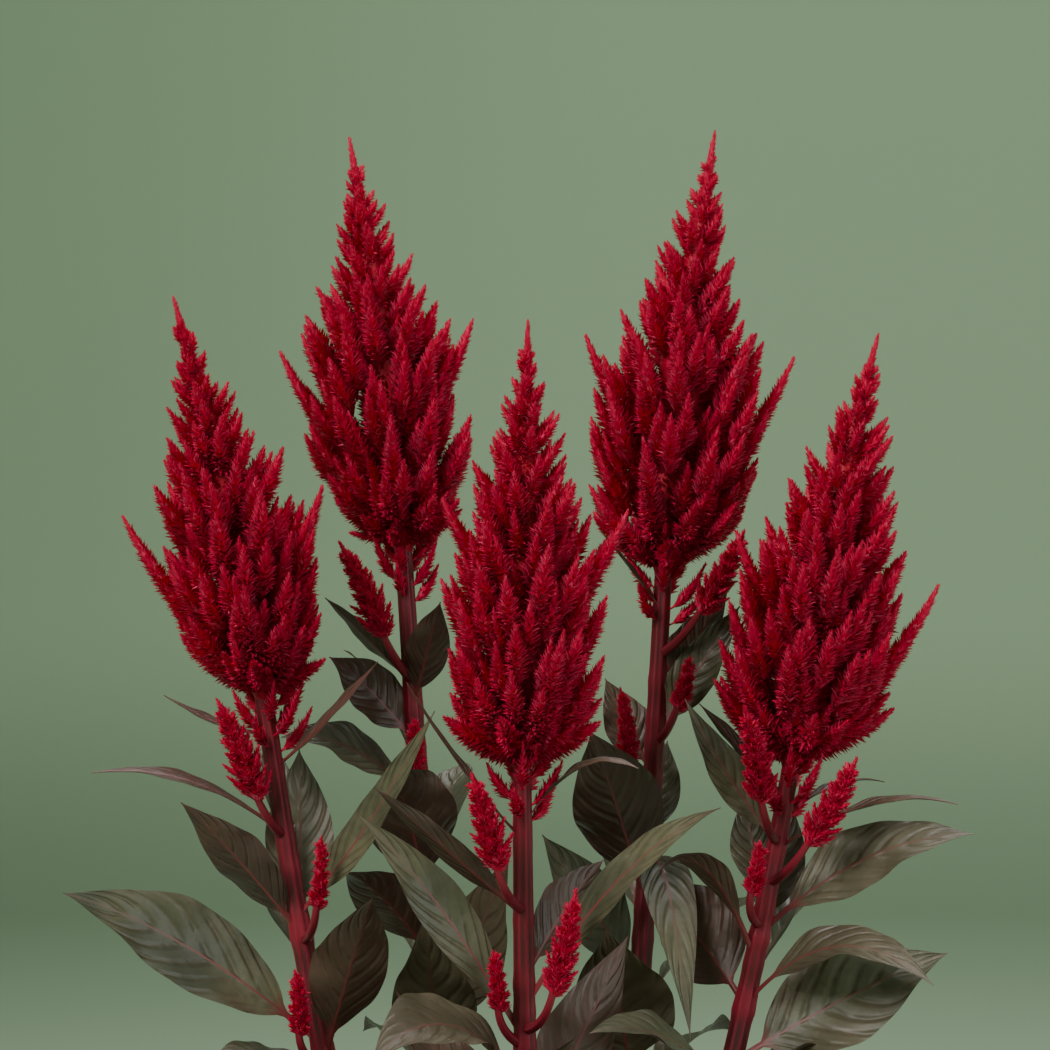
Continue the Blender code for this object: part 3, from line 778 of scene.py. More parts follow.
@dataclass
class FloretCoat:
    """Papery pointed tepals, laid in spirals along tapered spikes.

    Attributes:
        draw: the seeded source of chance.
        tepals: how many tepals of the usual length stand on a square millimetre of a spike's flank.
        usual: that usual length, in millimetres.
        fewest: the least number of tepals on a spike.
        tuft: how many more stand upright at its tip.
        rooted: where the tepals are rooted, as a share of the way out to the flank.
        slopes: the least and the most that a tepal leans outward.
        breadths: the least and the greatest width of a tepal, as shares of its length.
        bends: how far a tepal's tip may bend in and out, as shares of its length.
        keel: how far its fold stands up, as a share of its width.
        core_sides: how many sides a plain tube has.
        sheet: gathers the tepals.
    """

    draw: np.random.Generator
    tepals: float = 0.80
    usual: float = 5.0
    fewest: int = 10
    tuft: int = 5
    rooted: float = 0.30
    slopes: tuple[float, float] = (0.12, 0.85)
    breadths: tuple[float, float] = (0.27, 0.36)
    bends: tuple[float, float] = (-0.18, 0.14)
    keel: float = 0.32
    core_sides: int = 14
    sheet: Sheet = field(default_factory=Sheet)

    # A tepal folded along its middle: the place of each corner across, along and up from its foot, then its
    # two faces, how far out of its neighbours' shade each corner is, and how near the tepal's edge
    TEPAL: ClassVar[np.ndarray] = np.array(((0, 0, 0), (-0.5, 0.45, -1), (0.5, 0.45, -1), (0, 1, 0)), float)
    TEPAL_FACES: ClassVar[np.ndarray] = np.array(((0, 2, 3), (0, 3, 1)))
    TEPAL_BARE: ClassVar[np.ndarray] = np.array((0.6, 1, 1, 1))
    TEPAL_EDGE: ClassVar[np.ndarray] = np.array((0.1, 1.0, 1.0, 0.55))

    def spike(self, curve: Curve, girth: float, length_mm: float, outward: tuple[float, float] = (0.2, 1.0),
              thin: float = 1.0, start: float = 0.0) -> None:
        """Coats one tapered spike, which ends in a small tuft of upright tepals.

        Args:
            curve: the three points that control its axis, in metres.
            girth: its widest radius, in millimetres.
            length_mm: the length of its longest tepal, in millimetres.
            outward: how far out of the plume its base and its tip are, from 0 to 1, which sets their painted
                shade.
            thin: a share of the usual number of tepals.
            start: the share of the axis where the tepals begin.
        """
        span = float(np.linalg.norm(curve[2] - curve[0])) / MM * (1 - start)
        flank = 2.2 * math.pi * girth * span * 0.5
        body = max(self.fewest, int(flank * self.tepals * thin * (self.usual / length_mm)))
        count = body + self.tuft
        order = np.arange(count)
        s = np.clip((order + self.draw.uniform(0, 1, count)) / body, 0, 1) ** 0.95
        s[body:] = 1.0
        turn = order * GOLDEN_ANGLE + self.draw.uniform(-0.3, 0.3, count)
        place = start + (1 - start) * s
        along = heading(curve, place)
        first, second = directions_round(along)
        radial = first * np.cos(turn)[:, None] + second * np.sin(turn)[:, None]
        length = length_mm * (1 - 0.38 * s**1.8) * self.draw.uniform(0.78, 1.15, count)
        swell = girth * np.minimum(1.0, 0.6 + 1.8 * s) * (1 - s**1.7)
        root = self.rooted * swell
        slope = self.slopes[0] + (swell - root) / length + self.draw.normal(0.0, 0.09, count)
        slope = np.clip(slope, *self.slopes)
        slope[body:] *= 0.5
        lean = along * np.sqrt(1 - slope**2)[:, None] + radial * slope[:, None]
        level = np.clip(place - 0.75 * length / (span / (1 - start)) * s**2, 0, 1)
        feet = bezier(curve, level) + radial * (root * MM)[:, None]
        self.lay(feet, lean, np.cross(along, radial), length, share(outward[0], outward[1], s))

    def lay(self, feet: np.ndarray, lean: np.ndarray, width: np.ndarray, length: np.ndarray,
            outward: np.ndarray) -> None:
        """Lays one folded tepal on each foot.

        Args:
            feet: where the tepals are rooted, in metres.
            lean: the direction in which each one points.
            width: the direction across each one.
            length: how long each one is, in millimetres.
            outward: how far out of the plume each one is, from 0 to 1, which sets its painted shade.
        """
        count, corners = len(feet), len(self.TEPAL)
        face = np.cross(width, lean)
        broad = length * self.draw.uniform(*self.breadths, count)
        local = np.repeat(self.TEPAL[None], count, 0)
        local[:, :, 2] *= self.keel * broad[:, None]
        local[:, 3, 2] += length * self.draw.uniform(*self.bends, count)
        local[:, :, 0] *= broad[:, None]
        local[:, :, 1] *= length[:, None]
        across, up, out = (local[:, :, k:k + 1] for k in range(3))
        spots = feet[:, None] + (across * width[:, None] + up * lean[:, None] + out * face[:, None]) * MM
        faces = (self.TEPAL_FACES[None] + corners * np.arange(count)[:, None, None]).reshape(-1, 3)
        marks = np.zeros((count, corners, 4))
        marks[:, :, 0] = self.TEPAL[:, 1]
        marks[:, :, 1] = self.draw.uniform(0, 1, count)[:, None]
        marks[:, :, 2] = outward[:, None] * self.TEPAL_BARE
        marks[:, :, 3] = self.TEPAL_EDGE
        self.sheet.add(spots.reshape(-1, 3), faces, marks.reshape(-1, 4))

    def core(self, centres: np.ndarray, radii: np.ndarray, outward: float) -> None:
        """Adds a plain rounded tube: the heart that closes the gaps between spikes, or a thread of a stalk.

        Args:
            centres: points up its axis, in metres.
            radii: its radius at each, in millimetres.
            outward: how far out of the plume it is, from 0 to 1, which sets its painted shade.
        """
        turn = np.linspace(0, math.tau, self.core_sides, endpoint=False)
        ring = np.stack([np.cos(turn), np.sin(turn), np.zeros(self.core_sides)], 1)
        spots = centres[:, None] + ring[None] * (radii * MM)[:, None, None]
        marks = np.zeros((len(centres) * self.core_sides, 4))
        marks[:, 2] = outward
        self.sheet.add(spots.reshape(-1, 3), grid_faces(len(centres), self.core_sides, closed=True), marks)


@dataclass
class Plume:
    """A main plume: feathered side spikes in a spiral round a bent axis, shortest at the top and the foot.

    Attributes:
        plan: where it stands.
        spikes: how many side spikes it has.
        tepal: the length of its longest tepals, in millimetres.
        longest: how much of a side spike has tepals, in millimetres, as the rest is hidden in the plume.
        lean: how much its axis bends upright, as a share.
        levels_from_to: its lowest and highest side spikes, as shares of its height.
        inner: the share of side spikes that end inside the plume.
        inner_reach: how far out those end, as shares of the plume's half-width.
        outer_reach: how far out the others end.
        least_reach: how far out any side spike ends, in millimetres.
        spikelets: how many loose spikelets stand under it.
    """

    plan: StemPlan
    spikes: int = 230
    tepal: float = 4.9
    longest: float = 22.0
    lean: float = 0.35
    levels_from_to: tuple[float, float] = (0.02, 0.94)
    inner: float = 0.30
    inner_reach: tuple[float, float] = (0.60, 0.82)
    outer_reach: tuple[float, float] = (0.84, 1.08)
    least_reach: float = 2.2
    spikelets: int = 9

    def axis(self, t: Any) -> np.ndarray:
        """Finds points on the plume's bent axis.

        Args:
            t: shares of the way from its base to its apex.

        Returns:
            One point for each share, in metres.
        """
        base, apex = point(self.plan.top), point(self.plan.apex)
        upright = base + UP * np.linalg.norm(apex - base) * 0.5
        return bezier((base, share(share(base, apex, 0.5), upright, self.lean), apex), t)

    def branch(self, tip: np.ndarray) -> tuple[Curve, float]:
        """Finds the way of a side spike.

        Args:
            tip: where it ends, in metres.

        Returns:
            Its curve, and its length in millimetres.
        """
        base, apex = point(self.plan.top), point(self.plan.apex)
        height = float(np.linalg.norm(apex - base))
        level = float((tip - base)[2] / (apex - base)[2])
        reach = float(np.linalg.norm(tip - self.axis(min(1.0, max(0.0, level)))))
        angle = math.radians(float(np.interp(level, *zip(*SPIKE_ANGLE))))
        foot = self.axis(max(0.03, level - reach / math.tan(angle) / height))
        rise = UP * (tip - foot)[2]
        curve = (foot, foot + rise * 0.38 + (tip - foot - rise) * 0.64, tip)
        return curve, float(np.linalg.norm(tip - foot)) / MM

    def levels(self) -> np.ndarray:
        """Spreads the side spikes up the plume, closest together where it is widest.

        Returns:
            Their levels, as shares of the plume's height.
        """
        fine = np.linspace(*self.levels_from_to, 200)
        weight = np.cumsum([outline(level) * 0.62 + 0.38 for level in fine])
        return np.interp((np.arange(self.spikes) + 0.5) / self.spikes * weight[-1], weight, fine)

    def side_spike(self, coat: FloretCoat, draw: np.random.Generator, number: int, level: float) -> None:
        """Adds one side spike.

        Args:
            coat: lays its tepals.
            draw: the seeded source of chance.
            number: its number, counted up the plume.
            level: the level of its tip, as a share of the plume's height.
        """
        turn = number * GOLDEN_ANGLE + draw.uniform(-0.35, 0.35)
        inner = draw.uniform() < self.inner
        shares = self.inner_reach if inner else self.outer_reach
        reach = self.plan.width * outline(level) * draw.uniform(*shares)
        reach = max(reach * (draw.uniform(0.65, 1.1) if level < 0.1 else 1.0), self.least_reach)
        tip = self.axis(level) + np.array((math.cos(turn), math.sin(turn), 0)) * reach * MM
        tip = tip + UP * draw.uniform(-2.5, 2.5) * MM
        curve, length = self.branch(tip)
        girth = min(4.5, 1.2 + 0.13 * length) * draw.uniform(0.85, 1.1)
        size = self.tepal * min(1.0, 0.48 + 0.020 * length)
        start = max(0.0, 1 - self.longest / length)
        # painted shade: spikes that end inside the plume are marked less far out, so they are darker
        coat.spike(curve, girth, size, (0.25, 0.85 if inner else 1.0), start=start)

    def skirt(self, coat: FloretCoat, draw: np.random.Generator) -> None:
        """Adds loose spikelets on the stem, just under the plume, each on a thread of a stalk.

        Args:
            coat: lays their tepals.
            draw: the seeded source of chance.
        """
        top = self.plan.top[2]
        for i in range(self.spikelets):
            foot = stem_points(self.plan, np.array([top - 4.0 - 1.9 * i]))[0]
            turn = i * GOLDEN_ANGLE + draw.uniform(-0.4, 0.4)
            out = np.array((math.cos(turn), math.sin(turn), 0)) * draw.uniform(9, 17) * MM
            tip = foot + out + UP * draw.uniform(11, 20) * MM
            curve = (foot, foot + out * 0.55 + UP * 2 * MM, tip)
            coat.spike(curve, 2.8, 4.2, (0.35, 1.0), start=0.25)
            coat.core(bezier(curve, np.linspace(0, 0.8, 7)), np.linspace(0.9, 0.5, 7), 0.5)

    def build(self, finish: bpy.types.Material) -> bpy.types.Object:
        """Builds the plume's piece.

        Args:
            finish: the florets' material.

        Returns:
            The piece, which stands for the plume's solid.
        """
        draw = np.random.default_rng(sum(map(ord, self.plan.name)))
        coat = FloretCoat(draw)
        up = np.linspace(0.0, 0.9, 12)
        widths = np.array([outline(t) for t in up]) * self.plan.width * share(0.36, 0.20, up)
        widths[0] = 3.0
        # painted shade: the heart tube takes the darkest set-in crimson, so gaps between spikes look shaded
        coat.core(self.axis(up), widths, 0.12)
        for number, level in enumerate(self.levels()):
            self.side_spike(coat, draw, number, level)
        for leader in self.plan.leaders:
            curve, length = self.branch(point(leader))
            coat.spike(curve, min(6.6, 2.6 + 0.13 * length), self.tepal * 1.1, (0.2, 1.0), 1.1)
        top = (self.axis(0.55), self.axis(0.78), self.axis(1.0))
        coat.spike(top, 5.2, 4.0, (0.6, 1.0), 1.6)
        self.skirt(coat, draw)
        # painted shade: the heart spike's tepals are marked as set in, so they take the darker crimson
        heart = (self.axis(0.06), self.axis(0.45), self.axis(0.85))
        coat.spike(heart, self.plan.width, 5.0, (0.2, 0.5), 0.30)
        piece = coat.sheet.to_object("florets_" + self.plan.name, finish)
        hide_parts("plume_" + self.plan.name)
        return piece


@dataclass
class SidePlume:
    """A small plume on a stalk: a stout feathered spike with short side spikes that make its outline jagged.

    Attributes:
        plan: where it stands.
        number: its number on its stem.
        bend: how far its middle stands aside, in millimetres.
        fewest: the least number of side spikes.
        highest: the level of the highest side spike, as a share of its length.
        girth: a side spike's widest radius, in millimetres.
        tepal: the length of a side spike's longest tepals, in millimetres.
    """

    plan: SidePlumePlan
    number: int
    bend: float = 1.5
    fewest: int = 12
    highest: float = 0.84
    girth: float = 1.7
    tepal: float = 3.6

    def build(self, finish: bpy.types.Material) -> bpy.types.Object:
        """Builds the small plume's piece.

        Args:
            finish: the florets' material.

        Returns:
            The piece, which stands for the small plume's solid.
        """
        start, end = point(self.plan.foot), point(self.plan.tip)
        sideways = unit(np.cross(end - start, TO_VIEWER)) * self.bend * MM
        curve = (start, share(start, end, 0.5) + sideways, end)
        draw = np.random.default_rng(int(self.plan.height) * 7 + self.number)
        coat = FloretCoat(draw)
        span = float(np.linalg.norm(end - start)) / MM
        half = self.plan.width / 2
        coat.spike(curve, max(2.0, half * 0.62), min(5.0, 2.8 + half * 0.3), (0.4, 1.0), 1.3)
        spikes = max(self.fewest, int(span))
        for i in range(spikes):
            t = self.highest * i / spikes
            turn = i * GOLDEN_ANGLE
            along = heading(curve, np.array([t]))[0]
            first, second = directions_round(along)
            out = first * math.cos(turn) + second * math.sin(turn)
            reach = half * min(1.0, 0.8 + 2 * t) * (1 - t) ** 0.75 * draw.uniform(0.9, 1.15) * MM
            foot = bezier(curve, np.array([t]))[0]
            tip = foot + out * reach + along * max(reach, 2.5 * MM) * 1.2
            bent = (foot, share(foot, tip, 0.5) + out * reach * 0.1, tip)
            coat.spike(bent, self.girth, self.tepal, (0.45, 1.0))
        piece = coat.sheet.to_object(f"florets_{self.plan.stem}_{self.number}", finish)
        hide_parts(f"side_plume_{self.plan.stem}_{self.number}")
        return piece


@dataclass
class Blade:
    """One leaf: a slim petiole, then a lance-shaped blade that narrows to a drawn-out tip.

    Attributes:
        plan: where it stands and how it hangs.
        stem: the stem that it grows on.
        seed: its number on the stem, for its own curls.
        petiole: the petiole's share of its length.
        petiole_half: half the petiole's width, in millimetres.
        tip_half: half the tip's width, in millimetres.
        thickness: the blade's thickness, in millimetres.
        rows: points along it.
        columns: points across it.
        vein_pairs: how many pairs of side veins it has.
        narrow: the width under which it counts as a young leaf, in millimetres.
    """

    plan: LeafPlan
    stem: StemPlan
    seed: int
    petiole: float = 0.15
    petiole_half: float = 1.1
    tip_half: float = 0.18
    thickness: float = 0.5
    rows: int = 46
    columns: int = 13
    vein_pairs: float = 9.0
    narrow: float = 10.0

    def half_width(self, t: np.ndarray) -> np.ndarray:
        """Finds half the leaf's width.

        Args:
            t: shares along it.

        Returns:
            The half-width at each, in millimetres.
        """
        u = np.clip((t - self.petiole) / (1 - self.petiole), 0, 1)
        blade = 0.5 * self.plan.width * 4.24 * u**0.85 * (1 - u) ** 1.3
        slim = share(self.petiole_half, self.tip_half, u)
        return np.maximum(blade, slim)

    def maroon(self, draw: random.Random) -> float:
        """Draws how maroon the leaf's upper face is: narrow young leaves are, broad ones seldom.

        Args:
            draw: the leaf's own source of chance.

        Returns:
            The share, from 0 to 1.
        """
        if self.plan.width < self.narrow:
            return draw.uniform(0.7, 1.0)
        return draw.uniform(0.05, 0.85) ** 1.6

    def lift(self, tt: np.ndarray, aa: np.ndarray, half: np.ndarray, counted: np.ndarray,
             draw: random.Random) -> np.ndarray:
        """Finds how far the blade rises from a flat sheet, by its trough, wave, quilting, curl and tip.

        Args:
            tt: shares along it.
            aa: places across it, from -1 to 1.
            half: its half-width, in millimetres.
            counted: the count of side veins, whole on each.
            draw: the leaf's own source of chance.

        Returns:
            The rise, in millimetres.
        """
        off_rib = np.abs(aa)
        phase = draw.uniform(0, math.tau)
        edge = off_rib ** 1.7
        wave = 0.11 * half * np.sin(13.0 * tt + phase + 1.3 * np.sign(aa)) * edge
        wave += 0.05 * half * np.sin(29.0 * tt + 2 * phase - aa) * edge
        body = np.minimum(1.0, half / 6)
        quilt = -0.16 * body * np.cos(math.tau * counted) * (1 - off_rib ** 5) * (tt > self.petiole)
        quilt = quilt * (1 - np.exp(-off_rib * 9))
        curl = draw.uniform(-0.35, 0.35) * half * aa * tt**2
        near_tip = np.clip((tt - 0.7) / 0.3, 0, 1) ** 2
        droop = draw.uniform(-2.5, 1.0) * near_tip * min(1.0, self.plan.width / 14)
        return 0.22 * half * off_rib ** 1.3 + wave + quilt + curl + droop

    def add_to(self, sheet: Sheet) -> None:
        """Adds the leaf's two faces.

        Args:
            sheet: where they go.
        """
        plan = self.plan
        draw = random.Random(f"{plan.stem} {plan.height} {self.seed}")
        start, tip = stem_points(self.stem, np.array([plan.height]))[0], point(plan.tip)
        curve = (start, share(start, tip, 0.5) + UP * 2 * plan.bow * MM, tip)
        t = np.linspace(0, 1, self.rows) ** 0.96
        tt, aa = np.meshgrid(t, np.linspace(-1, 1, self.columns), indexing="ij")
        centre, along = bezier(curve, t), heading(curve, t)
        roll = math.radians(plan.roll)
        facing = UP * math.cos(roll) + TO_VIEWER * math.sin(roll)
        up = unit(facing - along * (along @ facing)[:, None])
        side = np.cross(along, up)
        half = self.half_width(t)[:, None]
        counted = self.vein_pairs * (tt - (0.13 + 0.13 * np.abs(aa)) * np.abs(aa)) + FIRST_VEIN
        lift = self.lift(tt, aa, half, counted, draw)
        rim = 1 - np.abs(aa) ** 6
        thick = (self.thickness * 0.5 * rim + 0.04) * np.ones_like(aa)
        thick = thick + 0.55 * np.exp(-((aa * half / 0.9) ** 2)) * (1 - tt) ** 0.8
        flat = centre[:, None] + side[:, None] * (aa * half * MM)[..., None]
        off_rib = np.clip(np.abs(aa * half) / RIB_REACH, 0, 1)
        maroon = 0.05 + 0.85 * self.maroon(draw)
        faces = grid_faces(self.rows, self.columns)
        for under, rise, turned in ((0.0, 0.35, faces), (1.0, -0.60, faces[:, ::-1])):
            spots = flat + up[:, None] * ((lift + rise * thick) * MM)[..., None]
            marks = np.stack([tt, off_rib, counted / VEIN_SCALE, np.full_like(tt, under + maroon)], -1)
            sheet.add(spots.reshape(-1, 3), turned, marks.reshape(-1, 4))


@dataclass
class LeafyStem:
    """A ribbed stem with its flower stalks, and its leaves as a second piece.

    Attributes:
        plan: where it stands.
        foot_radius: its radius at the soil, in millimetres.
        top_radius: its radius under the plume.
        ribs: how many ribs run up it.
        rib_height: how far a rib stands out, as a share of the radius.
        depth: how far it goes into the soil, in millimetres.
        rings: points along it.
        stalk_radii: a flower stalk's radius at its foot and at its end, in millimetres.
        stalk_ribs: how many ribs run along a stalk.
        stalk_rings: points along a stalk.
    """

    plan: StemPlan
    foot_radius: float = 4.4
    top_radius: float = 3.1
    ribs: int = 8
    rib_height: float = 0.10
    depth: float = 30.0
    rings: int = 110
    stalk_radii: tuple[float, float] = (1.8, 1.2)
    stalk_ribs: int = 5
    stalk_rings: int = 14

    # The lowest leaves: the height of each one's foot in millimetres, and its turn from straight outward in
    # radians
    LOW_LEAVES: ClassVar[tuple[tuple[float, float], ...]] = ((14, -0.7), (28, 0.7), (44, 0.0))

    def leaf_plans(self) -> list[LeafPlan]:
        """Lists the stem's leaves: those in the table, and the lowest ones, which arch over the pot's rim.

        Returns:
            Their plans.
        """
        rows = [leaf for leaf in LEAVES if leaf.stem == self.plan.name]
        foot = np.array(self.plan.foot, float)
        outward = math.atan2(foot[1], foot[0])
        for i, (height, swing) in enumerate(self.LOW_LEAVES):
            lead = np.array((math.cos(outward + swing), math.sin(outward + swing), 0))
            tip = foot + lead * (62 - 4 * i) + UP * (height + 14 + 9 * i)
            rows.append(LeafPlan(self.plan.name, height, tuple(tip), 24 + 3 * i, 11, 25 * -lead[1]))
        return rows

    def tube(self, sheet: Sheet, centres: np.ndarray, radii: np.ndarray, ribs: int,
             fresh: np.ndarray) -> None:
        """Adds a ribbed tube.

        Args:
            sheet: where it goes.
            centres: points along it, in metres.
            radii: its radius at each, in millimetres.
            ribs: how many ribs run along it.
            fresh: how young and red it is at each, from 0 to 1.
        """
        sides = max(12, ribs * 6)
        turn = np.linspace(0, math.tau, sides, endpoint=False)
        first, second = directions_round(unit(np.gradient(centres, axis=0)))
        ridge = 0.5 + 0.5 * np.cos(ribs * turn)
        radius = radii[:, None] * (1 + self.rib_height * (ridge[None] ** 1.5 - 0.4))
        out = first[:, None] * np.cos(turn)[None, :, None] + second[:, None] * np.sin(turn)[None, :, None]
        spots = centres[:, None] + out * (radius * MM)[..., None]
        marks = np.zeros((len(centres), sides, 4))
        marks[:, :, 0] = np.linspace(0, 1, len(centres))[:, None]
        marks[:, :, 1] = ridge[None]
        marks[:, :, 2] = np.clip(fresh, 0, 1)[:, None]
        faces = grid_faces(len(centres), sides, closed=True)
        sheet.add(spots.reshape(-1, 3), faces, marks.reshape(-1, 4))

    def main_stem(self, sheet: Sheet, leaves: list[LeafPlan]) -> None:
        """Adds the stem itself, swollen and redder where leaves grow from it.

        Args:
            sheet: where it goes.
            leaves: the stem's leaves.
        """
        heights = np.linspace(-self.depth, self.plan.top[2] + 2.0, self.rings)
        t = np.clip(heights / self.plan.top[2], 0, 1)
        radii = share(self.foot_radius, self.top_radius, t)
        fresh = 0.45 * t**2
        for leaf in leaves:
            swelling = np.exp(-(((heights - leaf.height + 1.5) / 2.6) ** 2))
            radii = radii + 0.018 * min(leaf.width, 16) * swelling
            fresh = fresh + 0.028 * min(leaf.width, 16) * np.exp(-(((heights - leaf.height) / 5) ** 2))
        self.tube(sheet, stem_points(self.plan, heights), radii, self.ribs, fresh)

    def stalk(self, sheet: Sheet, row: SidePlumePlan) -> None:
        """Adds the curved stalk of a small plume.

        Args:
            sheet: where it goes.
            row: the small plume's plan.
        """
        foot, end = point(row.foot), point(row.tip)
        ahead = unit(end - foot)
        start = stem_points(self.plan, np.array([row.height]))[0]
        curve = (start, foot - ahead * 0.45 * np.linalg.norm(foot - start), foot + ahead * 2 * MM)
        steps = np.linspace(0, 1, self.stalk_rings)
        radii = share(*self.stalk_radii, steps)
        self.tube(sheet, bezier(curve, steps), radii, self.stalk_ribs, share(0.5, 1.0, steps))

    def build(self, stem_finish: bpy.types.Material,
              leaf_finish: bpy.types.Material) -> list[bpy.types.Object]:
        """Builds the stem's piece and the leaves' piece.

        Args:
            stem_finish: the stem's material.
            leaf_finish: the leaves' material.

        Returns:
            The pieces, which stand for the leafy stem's solid.
        """
        leaves = self.leaf_plans()
        sheet = Sheet()
        self.main_stem(sheet, leaves)
        for row in (side for side in SIDE_PLUMES if side.stem == self.plan.name):
            self.stalk(sheet, row)
        stem = sheet.to_object("stalks_" + self.plan.name, stem_finish)
        blades = Sheet()
        for seed, leaf in enumerate(leaves):
            Blade(leaf, self.plan, seed).add_to(blades)
        foliage = blades.to_object("leaves_" + self.plan.name, leaf_finish)
        for piece in (stem, foliage):
            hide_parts("stem_" + self.plan.name)
        return [stem, foliage]


@dataclass
class ClayPot:
    """The unglazed clay pot: a tapered wall, a thicker rim band and a floor with drain holes.

    Attributes:
        height: its height, in millimetres, as all its sizes are.
        base_radius: its outer radius at the ground.
        rim_radius: its outer radius at the top.
        wall: how thick its wall is.
        floor: how thick its floor is.
        rim_height: how tall the rim band is.
        rim_step: how far the rim band stands out from the wall's line.
        sides: points round it.
        row_gap: about how far apart its rows of points are.
        holes: how many drain holes it has.
        hole_radius: their radius.
        hole_ring: how far from its axis they are.
        hole_sides: points round a drain hole.
    """

    height: float = 135.0
    base_radius: float = 54.0
    rim_radius: float = 82.0
    wall: float = 6.0
    floor: float = 9.0
    rim_height: float = 27.0
    rim_step: float = 3.5
    sides: int = 96
    row_gap: float = 3.0
    holes: int = 4
    hole_radius: float = 5.0
    hole_ring: float = 26.0
    hole_sides: int = 28

    def wall_radius(self, height: float) -> float:
        """The outer radius below the rim band, at a height, in millimetres."""
        return share(self.base_radius, self.rim_radius - self.rim_step, height / self.height)

    def profile(self) -> list[tuple[float, float]]:
        """Lists the corners of the turned shape, from inside the floor, over the rim, to the underside.

        Returns:
            Radius and height of each, in millimetres.
        """
        low = self.height - self.rim_height
        foot = self.wall_radius(self.floor) - self.wall
        inner = self.wall_radius(self.height) - self.wall
        return [
            (0.0, self.floor), (foot - 2, self.floor), (foot, self.floor + 2), (inner, self.height - 2.2),
            (inner + 0.8, self.height - 0.6), (inner + 2.2, self.height),
            (self.rim_radius - 2.4, self.height), (self.rim_radius - 0.7, self.height - 0.7),
            (self.rim_radius - 0.1, self.height - 2.4), (self.rim_radius - 1.0, low + 2.0),
            (self.rim_radius - 1.6, low + 0.6), (self.rim_radius - 2.6, low),
            (self.wall_radius(low) + 0.3, low - 0.2), (self.wall_radius(low - 1.2), low - 1.2),
            (self.base_radius + 0.7, 2.0), (self.base_radius - 0.4, 0.5), (self.base_radius - 1.8, 0.0),
            (0.0, 0.0),
        ]

    def rows(self) -> tuple[np.ndarray, np.ndarray]:
        """Splits the profile into short steps.

        Returns:
            The radii and the heights of its points, in millimetres.
        """
        corners = np.array(self.profile())
        rows = []
        for (r0, z0), (r1, z1) in zip(corners, corners[1:]):
            count = max(1, int(math.hypot(r1 - r0, z1 - z0) / self.row_gap))
            rows += [(share(r0, r1, k / count), share(z0, z1, k / count)) for k in range(count)]
        rows.append(tuple(corners[-1]))
        radius, level = np.array(rows).T
        return radius, level

    def build(self, finish: bpy.types.Material) -> bpy.types.Object:
        """Builds the pot's piece, with a potter's slight unevenness.

        Args:
            finish: the clay's material.

        Returns:
            The piece, which stands for the pot's solid.
        """
        radius, level = self.rows()
        turn = np.linspace(0, math.tau, self.sides, endpoint=False)
        uneven = 0.18 * np.sin(3 * turn + 1)[None] * np.sin(level / 21)[:, None]
        uneven = uneven + 0.10 * np.sin(level * 1.9)[:, None]
        thrown = (level > 3) & (level < self.height - 3) & (radius > 1)
        reach = radius[:, None] + np.where(thrown, 1.0, 0.0)[:, None] * (uneven - 0.25)
        upright = np.repeat(level[:, None], self.sides, 1)
        spots = np.stack([reach * np.cos(turn), reach * np.sin(turn), upright], -1) * MM
        bloom = np.exp(-level / 26) + 0.8 * np.exp(-(((level - 104) / 9) ** 2)) * (level < 108)
        marks = np.zeros((len(level), self.sides, 4))
        marks[:, :, 0] = np.clip(bloom, 0, 1)[:, None]
        faces = grid_faces(len(level), self.sides, closed=True)
        sheet = Sheet()
        sheet.add(spots.reshape(-1, 3), faces[:, ::-1], marks.reshape(-1, 4))
        piece = sheet.to_object("clay_pot", finish)
        self.drain(piece)
        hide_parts("pot")
        return piece

    def drill(self) -> bpy.types.Mesh:
        """Makes the rods that the drain holes are cut with.

        Returns:
            Their mesh.
        """
        bm = bmesh.new()
        radius = self.hole_radius * MM
        for k in range(self.holes):
            turn = math.tau * (k + 0.5) / self.holes
            place = Vector((self.hole_ring * math.cos(turn), self.hole_ring * math.sin(turn), self.floor / 2))
            bmesh.ops.create_cone(
                bm, cap_ends=True, segments=self.hole_sides, radius1=radius, radius2=radius,
                depth=3 * self.floor * MM, matrix=Matrix.Translation(place * MM))
        mesh = bpy.data.meshes.new("drill")
        bm.to_mesh(mesh)
        bm.free()
        return mesh

    def drain(self, piece: bpy.types.Object) -> None:
        """Cuts the drain holes through the pot's floor.

        Args:
            piece: the pot's piece, closed all round.
        """
        bm = bmesh.new()
        bm.from_mesh(piece.data)
        bmesh.ops.remove_doubles(bm, verts=bm.verts, dist=0.001 * MM)
        bm.to_mesh(piece.data)
        bm.free()
        rods = self.drill()
        cut = piece.modifiers.new("drain", "BOOLEAN")
        cut.operation = "DIFFERENCE"
        cut.solver = "EXACT"
        cut.object = bpy.data.objects.new("drill", rods)
        whole = piece.data
        graph = bpy.context.evaluated_depsgraph_get()
        piece.data = bpy.data.meshes.new_from_object(piece.evaluated_get(graph))
        piece.modifiers.clear()
        for spare in (whole, rods):
            bpy.data.meshes.remove(spare)


